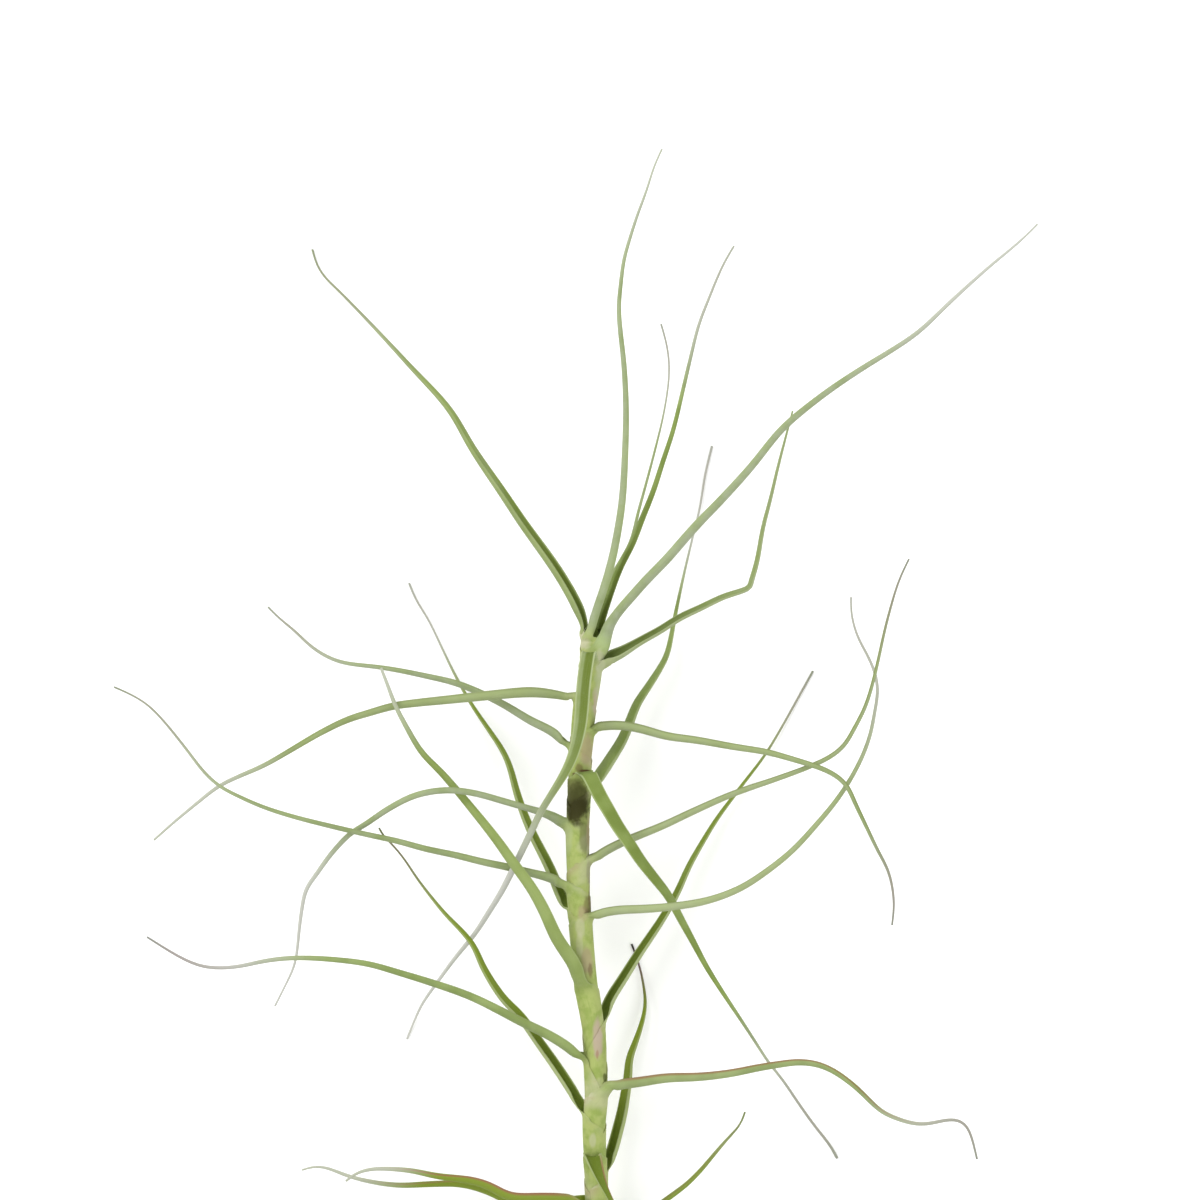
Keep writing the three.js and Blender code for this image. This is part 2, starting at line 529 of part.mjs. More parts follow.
// Cross-sections from where the blade parts from the stem out to its tip.
function bladeSections(leaf, index) {
  const stations = midrib(leaf, index);
  const whole = stations.at(-1).distance;
  const foot = sheathRadius(index, leaf.leaves);
  const wanted = [...MOUTH_STATIONS];
  for (let count = 1; count < BLADE_STATIONS; count += 1) {
    wanted.push(mix(MOUTH_STATIONS.at(-1), whole, (count / BLADE_STATIONS) ** STATION_POWER));
  }
  const chosen = wanted.map((length) => stations.find(({ distance }) => distance >= length));
  return [...chosen, stations.at(-1)].map((station) => {
    const share = station.distance / whole;
    const clear = smoothstep(clearance(leaf, index, station), 0, 1);
    const opened = smoothstep(station.distance, 0, MOUTH_OPENING);
    const width = Math.max(leaf.width * valueAt(WIDTH_PROFILE, share), TIP_WIDTH);
    const hugging = foot + MOUTH_FLARE * opened * (foot / STEM_RADIUS) ** 2;
    const halfAngle = mix(SHEATH_HALF_ANGLE, BLADE_HALF_ANGLE, opened);
    return crossSection({
      middle: station.point.clone().addScaledVector(station.inward, (-clear * width) / 2),
      inward: station.inward,
      across: new THREE.Vector3().crossVectors(station.inward, station.along),
      radius: mix(hugging, width / 2, clear),
      halfAngle: radians(halfAngle),
      wall: mix(SHEATH_THICKNESS, BLADE_THICKNESS * width, clear),
      full: smoothstep(share, HOLLOW_UNTIL, SOLID_FROM),
      segments: clear < 1 ? SHEATH_SEGMENTS : BLADE_SEGMENTS,
    });
  });
}

function leafMesh(leaf, index) {
  const sections = [...sheathSections(leaf, index), ...bladeSections(leaf, index)];
  const mesh = new THREE.Mesh(loft(sections), leafMaterial);
  mesh.name = leaf.name;
  return mesh;
}

// ---------- the woody core ----------

function stemMesh() {
  const lowest = STEM_LINE[0][1];
  const innermost = LAYER_STEP * SHEATH_REACH + SHEATH_THICKNESS + CORE_GAP;
  const positions = [];
  const ringAt = (y) => {
    const place = stemAt(y);
    const radius = valueAt(STEM_TAPER, y) - innermost;
    return Array.from({ length: CORE_SEGMENTS }, (_, step) =>
      place.centre.clone().addScaledVector(outward(place, (2 * Math.PI * step) / CORE_SEGMENTS), radius));
  };
  const rows = Array.from({ length: CORE_RINGS + 1 }, (_, ring) =>
    ringAt(mix(lowest, CORE_TOP, ring / CORE_RINGS)));
  const triangle = (a, b, c) => positions.push(...a.toArray(), ...b.toArray(), ...c.toArray());
  for (let step = 0; step < CORE_SEGMENTS; step += 1) {
    const next = (step + 1) % CORE_SEGMENTS;
    for (let ring = 0; ring < CORE_RINGS; ring += 1) {
      triangle(rows[ring][step], rows[ring + 1][step], rows[ring][next]);
      triangle(rows[ring][next], rows[ring + 1][step], rows[ring + 1][next]);
    }
    if (step > 0 && step < CORE_SEGMENTS - 1) {
      triangle(rows[0][0], rows[0][step], rows[0][next]);
      triangle(rows[CORE_RINGS][0], rows[CORE_RINGS][next], rows[CORE_RINGS][step]);
    }
  }
  const geometry = new THREE.BufferGeometry();
  geometry.setAttribute("position", new THREE.Float32BufferAttribute(positions, 3));
  geometry.computeVertexNormals();
  const mesh = new THREE.Mesh(geometry, stemMaterial);
  mesh.name = "stem";
  return mesh;
}

// ---------- the whole plant ----------

const plant = new THREE.Group();
plant.add(stemMesh());
LEAVES.forEach((leaf, index) => plant.add(leafMesh(leaf, index)));
plant.position.copy(PLANT_MIDDLE).negate();

export default plant;
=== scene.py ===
# The looks of a caulescent air plant that lies on a pale surface, seen from straight above.
# Lengths are in millimetres in the plant's own drawing frame (stem along +Y, +Z up) and are
# turned into metres in the shared frame when a mesh is made.
from math import ceil, cos, pi, radians, sin
from types import SimpleNamespace

import bpy
import numpy as np
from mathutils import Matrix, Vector


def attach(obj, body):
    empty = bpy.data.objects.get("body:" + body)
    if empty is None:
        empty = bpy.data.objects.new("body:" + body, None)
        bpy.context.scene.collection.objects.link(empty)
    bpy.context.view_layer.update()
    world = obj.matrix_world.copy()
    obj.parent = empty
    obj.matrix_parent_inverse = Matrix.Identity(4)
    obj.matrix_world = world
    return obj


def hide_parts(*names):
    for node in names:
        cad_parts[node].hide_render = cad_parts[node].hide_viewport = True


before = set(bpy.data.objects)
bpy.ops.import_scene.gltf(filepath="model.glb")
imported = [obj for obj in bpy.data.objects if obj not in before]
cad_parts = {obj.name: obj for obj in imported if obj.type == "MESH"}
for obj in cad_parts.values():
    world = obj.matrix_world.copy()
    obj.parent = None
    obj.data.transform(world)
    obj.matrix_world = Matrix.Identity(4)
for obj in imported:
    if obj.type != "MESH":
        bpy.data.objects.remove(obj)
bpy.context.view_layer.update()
scene = bpy.context.scene

MM = 0.001
PLANT_MIDDLE = np.array([-4.2, 134.6, 0.15])  # the shared frame's origin in the drawing frame


def placed(name, data, location=(0, 0, 0)):
    """Adds an object to the scene."""
    added = bpy.data.objects.new(name, data)
    added.location = location
    scene.collection.objects.link(added)
    return added


# ---------- the camera ----------

# In metres:
PICTURE_WIDTH = 0.36  # across the picture at the height of the stem
PICTURE_CENTRE = (0.0072, 0.0454)
STEM_HEIGHT = 0.032
CAMERA_DISTANCE = 5.0
CLIP_START = 0.1
CLIP_END = 20.0
SENSOR = 36.0

camera_data = bpy.data.cameras.new("camera")
camera_data.type = "PERSP"
camera_data.sensor_width = SENSOR
camera_data.lens = SENSOR * CAMERA_DISTANCE / PICTURE_WIDTH
camera_data.clip_start = CLIP_START
camera_data.clip_end = CLIP_END
scene.camera = placed("camera", camera_data, (*PICTURE_CENTRE, STEM_HEIGHT + CAMERA_DISTANCE))

# ---------- the stem's dimensions ----------

STEM_RADIUS = 3.65  # over the outermost sheath
LAYER_STEP = 0.3  # each enclosed sheath is this much smaller in radius
SHEATH_WALL = 0.22
SHEATH_REACH = 2.2  # how many leaves lower down a sheath is rooted
LOWEST_SHEATH = -36  # where the lowest sheaths are cut off with the stem
NEXT_ABOVE = 2  # from the last leaf up to where the next would part
NEXT_BELOW = (4, 14)  # from the cut down to where the next two would have parted
CORE_GAP = 0.1  # between the innermost sheath and the woody core
CORE_TOP = 171.5
CORE_SIDES = 40
CORE_STEP = 2.0
CORE_GRAIN = 0.02  # unevenness, as a share of its radius
CUT_SHARES = [0.3, 0.65, 0.93]  # of its radius: the rings of a cut end
CUT_HOLLOW = 0.35  # depth of its middle
CUT_ROUGHNESS = 0.08
CUT_SHIFT = 2  # sets a cut end's fibres apart from those along the core
SEED = 7
STEM_STEP = 0.2  # spacing of the points along the stem's smooth line

# Its middle.
STEM_LINE = [
    (2.4, -38, 2.6), (2.1, -18, 9), (1.9, 2, 15.2), (1.3, 20, 19.2), (1.8, 32, 21.6),
    (1.1, 50, 24.6), (-1.3, 66, 26.8), (-3.2, 88, 28.9), (-3.7, 106, 30.2), (-3.3, 122, 31),
    (-2.1, 143, 31.6), (-0.4, 155, 31.8), (1, 169, 32), (2.2, 182, 32.4),
]

# Its radius over the outermost sheath, by height.
STEM_TAPER = [
    (-60, STEM_RADIUS), (160, STEM_RADIUS), (163, 3.8), (166, 3.85), (168, 3.3), (170, 2.6),
    (173, 1.8), (176, 1.5), (200, 1.4),
]

# ---------- the leaves' dimensions ----------

LEAD_LENGTH = 4  # straight run of a leaf's line below its mouth
MOUTH_RISE = 2.35  # the midrib hugs the stem for this much more height
MOUTH_CLEAR = 0.4  # and stands this far off there
CLEAR_FROM = 0.05  # share of the way to the open where it starts to leave
MOUTH_SWELL = 0.08  # how much a blade's foot is wider than its sheath
SWELL_LENGTH = 2
UPRIGHT_FROM = 0.5  # where cross-sections start to turn from the stem
MARGIN_LENGTH = 5  # over which the margins draw in from the sheath's rim
MARGIN_LIFT = 1.6  # how much higher on the stem the margins part than the midrib
LIFT_POWER = 1.6  # keeps that near the margins
LIFT_RUN = 7  # length below the notch over which it comes in
HIDDEN_LIFT = 0.3  # the share of it for the margin away from the viewer
FRONT_BLEND = 0.5
NOTCH_DEPTH = 3.0  # of the notch in a sheath's rim, on the side away from its blade
NOTCH_POWER = 1.3  # keeps it narrow at its lower end
SKEW_RUN = 6  # length below the notch over which a skewed one turns
CLOSED_ANGLE = 181  # degrees each side of the midrib: a sheath,
MOUTH_ANGLE = 112  # its rim where the blade parts,
BLADE_ANGLE = 108  # and a blade in the open
WIDEST_ARC = 2.5  # radians each side of the midrib that a blade has at most
WALL_SHARE = 0.12  # of a blade's width that its wall is thick near the stem
THIN_SHARE = 0.16  # of its width that is left where a leaf with thins ends thinning
TIP_WIDTH = 0.6
FILLING = (0.08, 0.8)  # shares of its length between which a channel fills up
INNER_SPAN = 0.985  # the channel's face spans this share of the outer arc,
FILLED_SPAN = 0.94  # and this share of the rest of the circle once it is filled,
FILLED_RADIUS = 0.985  # at this share of the radius
FILLED_DIP = 0.1  # less this in its middle until it is filled
RIM_BULGE = 0.35  # how far a margin is rounded, by its thickness
ROLL_FROM = 1
ROLL_LENGTH = 7  # over which a blade turns to its own roll
HAND_FROM = 4  # past this the channel's direction tells right from left
ARC_POINTS = 21  # across a blade's outer face
STEP = 0.25  # spacing of the points along a leaf's smooth line
SHEATH_STEP = 0.9  # spacing of the cross-sections of a sheath,
NOTCH_STEP = 0.35  # of its notch,
MOUTH_STEP = 0.4  # of the blade's first MOUTH_LENGTH
MOUTH_LENGTH = 12
ROW_STEP = 1.1  # and of the rest of it
SMOOTHING = 2.2  # evens out a leaf's line over about this length,
KINK_SMOOTHING = 0.7  # or over this one where it has a sharp bend,
SMOOTH_FROM = 4  # and not before this one
SMOOTH_BLEND = 3  # where it is full, as a multiple of its length,
KERNEL_REACH = 4  # and where the blur's weights end
NEAREST = 1e-4  # this and TINY keep divisors above zero
TINY = 1e-6
# How level a leaf runs while its width as seen from above takes over, and how far its channel
# faces sideways while its outer edge takes over from its middle:
LEVEL_BLEND = (0.25, 0.7)
SIDEWAYS_BLEND = (0.3, 0.8)

# A blade's width along it, as shares of its length and of its width at the stem.
WIDTH_PROFILE = [
    (0, 1), (0.08, 0.97), (0.25, 0.8), (0.45, 0.64), (0.65, 0.48), (0.85, 0.33), (1, 0.2),
]

# What a leaf has unless it says otherwise; the keys are explained below.
USUAL = dict(
    slim=1, slim_from=2, slim_to=17, taper=1, thins=None, roll=None, open=BLADE_ANGLE, flat=0,
    bloom=0, deep=0.35, dark_half=0, dark_from=-0.25, light=0, warm=0, rim=0, axil=0.12, red=0,
    red_half=0, grey=0.7, grey_from=0.6, tip=0, pale=0.35, pale_from=0.86, draw=MARGIN_LENGTH,
    lift=MARGIN_LIFT, notch=NOTCH_DEPTH, skew=0, smoothing=SMOOTHING,
)
LEAVES = []


def leaf(name, leaves, around, width, **own):
    LEAVES.append(SimpleNamespace(name="leaf_" + name, leaves=leaves, around=around, width=width,
                                  **{**USUAL, **own}))


# Youngest leaf first. leaves: height on the stem where the midrib parts from it. around: the
# side it leaves from, in degrees from +X towards +Z. width: across its base as seen from above.
# slim: the share of it that is left after slim_from to slim_to millimetres. taper: above 1 it
# stays wide for longer. holds and thins: the shares of its length between which it thins
# instead. roll: degrees that the channel in the open faces up out of the level; without it the
# channel keeps facing the way it does at the stem. open: half angle of the channel. flat: how
# far it is filled from the start. draw, lift, notch and smoothing: its own MARGIN_LENGTH,
# MARGIN_LIFT, NOTCH_DEPTH and SMOOTHING. skew: degrees that the notch is turned sideways.
# bloom: how grey its scales make it. light: how pale its outside is. warm: how yellow the green
# is. deep: how dark the channel is, and dark_half: painted shade that keeps this darkness to
# the right (1) or left (-1) of the way to the tip only, the half in the shade of the near wall,
# from dark_from outwards. axil: how dark the painted shade is where the channel starts,
# in the axil. rim: how dark the margins are. pale: how light, from pale_from outwards. red: how
# red, and red_half: one only.
# grey: how grey its end is, from grey_from. tip: how dark.
# line: the points that the midrib runs through in the open.
leaf("top_thin", 167.2, -125, 1.45, roll=0, bloom=0.6, warm=0.3, tip=0.25, line=[
    (2.7, 180, 26.1), (6, 186.4, 25.2), (9.3, 192, 25), (12.3, 197.6, 24), (14.4, 206.1, 22.4),
    (16.8, 214.8, 21), (19.8, 226.2, 19.2), (22.2, 236.4, 18), (23.7, 246.9, 17),
    (23.6, 252.9, 16.6), (22.7, 258, 16.4), (21.3, 262.8, 16.2)])
leaf("top_centre", 166.9, 115, 2.55, taper=1.4, roll=-20, bloom=0.7, grey_from=0.7, grey=0.6,
     draw=2.5, line=[
    (0.2, 171, 35), (1.1, 174, 35.2), (1.9, 177, 35.4), (3, 180, 35.8), (5.2, 186.9, 37.4),
    (7, 193.8, 38.6), (8.2, 200, 39.4), (9.6, 209.1, 40.4), (10.5, 223.2, 41.6),
    (10.8, 237.6, 42.4), (10.2, 250.5, 42.6), (9, 261.6, 42.6), (8.6, 267.6, 42.4),
    (9.2, 274.5, 42.2), (10.2, 282.3, 42), (12, 288.6, 42), (14.1, 295.2, 42.2),
    (16.8, 302.4, 42.6), (19.5, 310.8, 43), (21.6, 315.3, 43.2)])
leaf("top_left", 166.8, 212, 2.2, slim=1.6, slim_from=4, slim_to=13, holds=0.05, thins=1.05,
     roll=24, open=92, bloom=0.45, deep=1, warm=0.45, grey=0.3, tip=0.25, draw=6, line=[
    (-1.7, 171.4, 31.6), (-2.1, 174.2, 31.4), (-3.4, 177.2, 31), (-4.8, 180.2, 30.4),
    (-10, 189, 28.2), (-20.3, 203.4, 24.6), (-26.2, 212.2, 22), (-34.9, 224.9, 18.2),
    (-42.2, 237.2, 14.6), (-53.9, 250.1, 9.8), (-65.5, 262.6, 5.8), (-74.8, 272.2, 3),
    (-80.5, 277.9, 1.6), (-82.4, 281.7, 0.9), (-83.3, 285.2, 0.4)])
leaf("top_right", 165.2, -55, 3.09, taper=0.65, roll=58, open=72, flat=0.35, bloom=0.15, deep=0.9,
     dark_half=1, grey_from=0.58, tip=0.15, draw=8, line=[
    (2.6, 171.6, 32.6), (3.4, 174.2, 32.6), (4.3, 177, 32.6), (5.5, 180.6, 32.6), (9, 189.9, 33),
    (12.7, 196.8, 33.4), (15.6, 204.3, 33.6), (18.9, 212.4, 33.8), (21.9, 221.7, 34),
    (24.9, 230.7, 34), (27.6, 241.8, 34), (30, 252, 34), (32.7, 262.8, 33.6), (35.6, 270.3, 33.2),
    (38.4, 277.2, 32.8), (40.5, 281.7, 32.6), (43.2, 286.2, 32.4)])
leaf("long_right", 162.5, 25, 4.3, slim=0.66, taper=1.6, roll=-25, bloom=0.8, grey=0.8, draw=11,
     line=[
    (5, 171.2, 34.8), (6.9, 174.2, 36.2), (8.9, 177, 37.6), (11.6, 180, 39.2), (16.9, 186, 42),
    (22.8, 192, 44.6), (31.2, 201.6, 48), (39.9, 210.6, 51.2), (48.3, 219.9, 54), (57, 230.7, 56.4),
    (62.1, 235.4, 57.4), (72.5, 243.4, 58.8), (82.8, 250.2, 59.8), (90, 254.6, 60.4),
    (98.3, 260.2, 61), (108.7, 270, 61.6), (119, 279.3, 62), (129.3, 287.9, 62.2),
    (134.3, 292.8, 62.2)])
leaf("front_hanging", 159.6, 94, 4.3, slim=0.5, slim_from=25, slim_to=62, taper=3, open=78,
     flat=0.25, bloom=0.9, deep=1, dark_half=-1, dark_from=-0.45, warm=0.45, axil=0.4, pale=0.75,
     pale_from=0.62, grey_from=0.32, grey=0.95, draw=2, lift=0, line=[
    (-0.1, 164.8, 39.2), (-0.3, 165.6, 42), (-0.8, 162.6, 44.4), (-1.7, 156.6, 45.2),
    (-2.2, 151, 45.4), (-2.7, 144, 45.4), (-3.9, 137.4, 45), (-6, 131.1, 44.4), (-9, 125.7, 43.4),
    (-11.7, 121.5, 42.2), (-15, 116.1, 40), (-17.1, 111.6, 37.8), (-21.6, 102.3, 32.6),
    (-26.1, 93.3, 26.2), (-30.3, 86.4, 20), (-34.8, 79.5, 13.6), (-40.5, 72.6, 8.4),
    (-46.2, 64.8, 4.6), (-50.4, 58.8, 2.4), (-52.5, 54.3, 1.2), (-54.9, 48.3, 0.4)])
leaf("kinked", 158.6, -12, 4.4, slim=0.65, roll=36, open=92, bloom=0.8, light=0.35, deep=0.65,
     warm=0.4, grey=0.1, smoothing=KINK_SMOOTHING, draw=6, line=[
    (5.6, 162.4, 30.8), (9.6, 164.5, 30.6), (15.6, 168, 30), (21, 171, 29.4), (26.7, 174.6, 28.8),
    (33.6, 177.9, 28), (39.9, 180.9, 27.2), (45.6, 182.8, 26.6), (47.8, 183.8, 26.4),
    (48.5, 186, 26.2), (50.1, 191.7, 26), (51.9, 201.6, 25.6), (54.2, 210.6, 25.4),
    (56.4, 219.9, 25.6), (58.8, 229.2, 26), (60.8, 236.7, 26.4)])
leaf("left_long", 147.6, 172, 2.36, slim=1.43, roll=0, bloom=0.4, light=0.3, warm=0.3, rim=0.5,
     line=[
    (-8, 151.2, 32.6), (-12, 151.9, 33.4), (-17.7, 152.4, 34), (-29.1, 151.5, 34.6),
    (-40.5, 150.3, 34.6), (-52.2, 149.1, 34), (-59.1, 148.2, 33.4), (-66.3, 146.1, 32.8),
    (-72.3, 144.3, 32.2), (-81, 140.1, 31), (-89.7, 135, 29.4), (-98.1, 130.2, 28),
    (-104.4, 127.5, 27), (-111.3, 124.2, 26), (-118.2, 118.8, 25), (-125.1, 113.1, 24),
    (-130.8, 108, 23)])
leaf("right_hooked", 138.8, 12, 2.86, roll=-10, bloom=0.5, light=0.25, warm=0.3, rim=0.8, axil=1,
     grey_from=0.72, tip=0.45, line=[
    (2.6, 141.9, 33.4), (5.4, 142.4, 34.2), (9.6, 142.4, 35.6), (15.6, 141.3, 37.2),
    (22.8, 139.2, 38.8), (31.8, 138, 40.4), (43.5, 135.9, 41.6), (53.1, 134.4, 42),
    (60.6, 132.3, 42), (67.5, 130.2, 41.6), (72, 128.4, 41), (76.8, 124.8, 39.6),
    (79.5, 119.1, 37.6), (83.1, 111.6, 34.6), (86.4, 104.7, 31.6), (89.4, 99, 29), (90.9, 92.7, 27),
    (91.2, 87.6, 25.4), (90.6, 82.5, 24)])
leaf("left_rising", 133, 202, 2.8, roll=-5, bloom=0.75, rim=0.5, grey=0.5, tip=0.3, line=[
    (-11, 140.4, 28.6), (-17.7, 143.7, 27.6), (-26.1, 148.8, 26), (-39.3, 154.8, 24.4),
    (-49.2, 157.2, 23.4), (-57.9, 159, 22.8), (-63.6, 159.9, 22.4), (-75, 161.4, 21.6),
    (-80.4, 163.8, 21), (-84.6, 166.8, 20.6), (-88.5, 170.7, 20.2), (-93, 174.3, 19.8),
    (-96.6, 177.9, 19.4)])
leaf("front_right", 125.6, 72, 5.3, holds=-0.2, thins=0.8, open=72, flat=0.35, bloom=0.1, deep=0.3,
     pale=0.6, grey_from=0.58, tip=0.35, draw=2, lift=0, line=[
    (-1.2, 128.8, 39.4), (-0.2, 127.8, 41.8), (2.2, 122.6, 43.4), (5.6, 116.8, 43.8),
    (8.4, 111.9, 43.4), (11.3, 107.8, 42.4), (15.2, 101.8, 39.8), (19.7, 96.1, 36.4),
    (23.7, 91, 33), (26.5, 85.6, 29.6), (30.7, 77.9, 25.6), (34.8, 70.2, 22), (39.9, 62.1, 18.6),
    (45.3, 54, 15.4), (49.8, 47.1, 12.8), (53.7, 41.1, 10.8), (57.6, 36.3, 9), (62.7, 28.8, 6.2),
    (67.2, 22.5, 3.8), (72.6, 15.6, 1.3), (74.1, 12.6, 0.4)])
leaf("back_right", 120, -52, 4.1, holds=-0.1, thins=0.78, roll=36, open=75, flat=0.5, bloom=0.2,
     light=0.4, deep=0, grey_from=0.55, grey=0.85, tip=0.25, line=[
    (4.2, 129.3, 24.6), (6.3, 132.6, 22.6), (9.9, 138.4, 19.6), (12.6, 145.3, 17),
    (14.1, 149.1, 15.4), (16.8, 153, 13.6), (20.1, 158.1, 11.4), (23, 163.2, 9.4),
    (24.2, 168.3, 7.8), (25.5, 175.2, 5.8), (28.2, 187.8, 3.2), (30.6, 198, 1.8), (33, 207.9, 1),
    (34.5, 217.5, 0.6), (36.6, 226.2, 0.4)])
leaf("left_arched", 109, 192, 3.4, slim=0.58, taper=2.5, roll=-35, bloom=0.7, rim=0.3,
     grey_from=0.5, grey=0.9, draw=7, lift=4.5, notch=2, line=[
    (-9.4, 114, 31.2), (-12, 115.5, 32.2), (-18.9, 117.6, 34.4), (-26.1, 119.7, 37),
    (-34.8, 122.1, 39.6), (-42.9, 123, 41), (-52.2, 121.5, 39.6), (-60.6, 117.3, 36),
    (-68.1, 112.2, 31.4), (-71.4, 110.4, 29.4), (-77.7, 103.8, 25.4), (-82.2, 97.5, 22.4),
    (-85.2, 93.3, 20.4), (-86.4, 87.6, 18), (-87.3, 80.7, 15.4), (-87.9, 74.4, 13),
    (-88.8, 69.9, 11.4), (-91.2, 64.8, 9.8), (-94.5, 58.2, 8)])
leaf("right_swept", 98.8, -4, 2.8, taper=0.85, roll=-5, bloom=0.6, light=0.35, warm=0.3, rim=0.8,
     grey_from=0.8, tip=0.45, draw=7, line=[
    (3, 103.7, 30.6), (5.9, 105.5, 30.8), (9, 107, 31), (14.1, 109.2, 31.8), (21.6, 112.2, 32.8),
    (31.8, 117, 34.2), (43.5, 122.1, 35.4), (54.9, 126, 36.2), (66.3, 130.2, 36.8), (72, 132.9, 37),
    (76.2, 136.2, 37.2), (79.5, 141.9, 37.4), (82.2, 147, 37.6), (84, 152.1, 37.8),
    (85.5, 157.8, 38), (87, 164.4, 38), (88.5, 171.3, 38), (90.9, 180.3, 37.8), (92.4, 185.1, 37.6),
    (94.2, 189.3, 37.4), (95.7, 192.3, 37.2)])
leaf("left_low", 91.4, 178, 3.06, slim=0.8, roll=0, bloom=0.55, rim=0.4, grey=0.45, tip=0.3, line=[
    (-10.6, 96.2, 28.8), (-17.7, 98.1, 28.4), (-23.4, 99.6, 28.2), (-32.1, 101.4, 28.8),
    (-40.5, 103.5, 29.8), (-49.2, 105.3, 31), (-57.9, 107.7, 32.2), (-66.3, 109.5, 33.4),
    (-78, 112.2, 34.8), (-89.7, 115.2, 35.6), (-98.1, 117.9, 36), (-105.6, 121.2, 36),
    (-111.3, 124.2, 36), (-116.1, 128.7, 35.8), (-120, 133.8, 35.4), (-124.2, 139.2, 35),
    (-128.7, 144.6, 34.4), (-132.6, 148.5, 34), (-137.4, 151.5, 33.4), (-142.8, 153.9, 33)])
leaf("back_left", 84.2, 238, 3.6, holds=-0.1, thins=0.92, roll=34, open=90, light=0.5, deep=0.45,
     warm=0.7, grey_from=0.62, grey=0.8, tip=0.25, line=[
    (-8.4, 90.6, 23.6), (-10.4, 95.7, 21.6), (-12.9, 101.4, 19.2), (-16.5, 108.3, 16.4),
    (-19.8, 115.8, 13.6), (-22.2, 123, 11.4), (-24, 129.9, 9.6), (-26.1, 134.7, 8.2),
    (-30.3, 141, 6.4), (-35.4, 148.5, 4.6), (-40.5, 157.5, 3), (-44.7, 166.2, 2),
    (-48.6, 174.3, 1.3), (-52.2, 180, 0.8), (-54.3, 185.1, 0.4)])
leaf("right_looped", 82.4, 24, 2.77, roll=-30, bloom=0.55, light=0.4, warm=0.2, rim=0.6, grey=0.75,
     tip=0.2, line=[
    (3.4, 86, 32.4), (5.6, 86.6, 33.2), (9.6, 87.1, 35), (15.6, 87.3, 36.8), (23.4, 87.9, 38.2),
    (34.8, 89.7, 38.8), (44.7, 93.3, 38.4), (51.9, 97.8, 37.4), (60.6, 104.7, 36),
    (68.1, 112.8, 34.8), (73.8, 119.7, 33.8), (78, 126, 33), (81.9, 133.5, 32.4),
    (84.3, 140.4, 32.2), (85.5, 147, 32), (86.3, 151.5, 32), (86.1, 156, 32), (85.2, 159, 32),
    (83.4, 163.2, 32), (80.7, 168, 32), (79.1, 172.5, 32), (78.3, 176.7, 32), (78.3, 180.9, 32)])
leaf("front_left", 61.5, 118, 4.23, taper=1.2, roll=-30, bloom=0.12, light=0.15, warm=0.3,
     grey_from=0.72, lift=0.5, notch=5, line=[
    (-4.4, 70.2, 33), (-7.3, 74.6, 34.8), (-10.2, 79, 35.6), (-13.5, 86.4, 36.4),
    (-17.7, 93.9, 36.8), (-22.8, 100.8, 36.6), (-27.9, 108, 36), (-33.6, 115.2, 35.4),
    (-39.3, 122.1, 35.2), (-44.7, 128.4, 35.4), (-50.4, 134.1, 36), (-54.9, 141.6, 36.8),
    (-58.5, 148.5, 37.4), (-60.6, 154.2, 37.8), (-62.7, 159.6, 38)])
leaf("back_right_low", 49.4, -48, 4.1, holds=-0.3, thins=0.95, roll=38, open=92, light=0.75, deep=1,
     warm=0.6, grey_from=0.7, grey=0.6, tip=0.4, notch=7, line=[
    (5.6, 59.6, 19.6), (9.6, 66, 17.2), (14.1, 73.2, 14.8), (18, 78.9, 13), (21.6, 84.3, 11.4),
    (26.1, 92.1, 9.4), (29.7, 100.2, 7.6), (33.6, 107.1, 6.2), (37.8, 114, 4.9), (42.9, 120.9, 3.7),
    (46.8, 126, 2.9), (52.5, 133.5, 2), (57.9, 142.5, 1.2), (62.4, 150.6, 0.7), (66.9, 158.7, 0.4)])
leaf("left_spread", 39.8, 158, 3.12, roll=-5, bloom=0.25, rim=0.3, axil=0.8, grey_from=0.58,
     grey=0.9, tip=0.5, lift=0.5, skew=75, notch=10, line=[
    (-7, 46.2, 26.2), (-12.9, 49.8, 27), (-20.4, 53.4, 27.4), (-27.9, 57.3, 27.2),
    (-36, 61.2, 26.8), (-46.2, 64.8, 26.2), (-57.9, 68.4, 25.6), (-66.3, 70.8, 25),
    (-75.3, 72, 24.4), (-84, 72.6, 24), (-89.7, 72.6, 23.6), (-93.6, 72.3, 23.2),
    (-99.3, 71.4, 22.4), (-104.4, 70.2, 21.6), (-110.4, 69.6, 20.6), (-115.5, 69.9, 19.8),
    (-119.4, 71.1, 19), (-124.2, 73.5, 18.2), (-132.9, 78.9, 17)])
leaf("right_wavy", 29.8, 14, 3.17, roll=0, bloom=0.25, light=0.25, rim=0.3, axil=1, red=0.8,
     tip=0.4, draw=8, line=[
    (6.4, 33.8, 22.6), (9.2, 34.7, 23), (14.4, 35.3, 23.6), (22.8, 36.6, 24.4), (32.7, 36.9, 25),
    (42.9, 38.1, 25.2), (50.1, 39.6, 25.2), (57.6, 40.8, 25), (62.1, 41.4, 24.6), (68.1, 40.8, 24),
    (72.6, 39, 23), (77.1, 36, 22), (80.7, 33, 21), (84, 29.7, 20), (87.6, 26.4, 19),
    (92.4, 24.3, 18), (97.5, 22.8, 17), (101.4, 22.8, 16.4), (105.3, 23.7, 15.8),
    (109.2, 24.3, 15.2), (112.2, 23.4, 14.6), (114, 20.4, 13.8), (114.9, 17.4, 13),
    (116.1, 12.3, 11.6)])
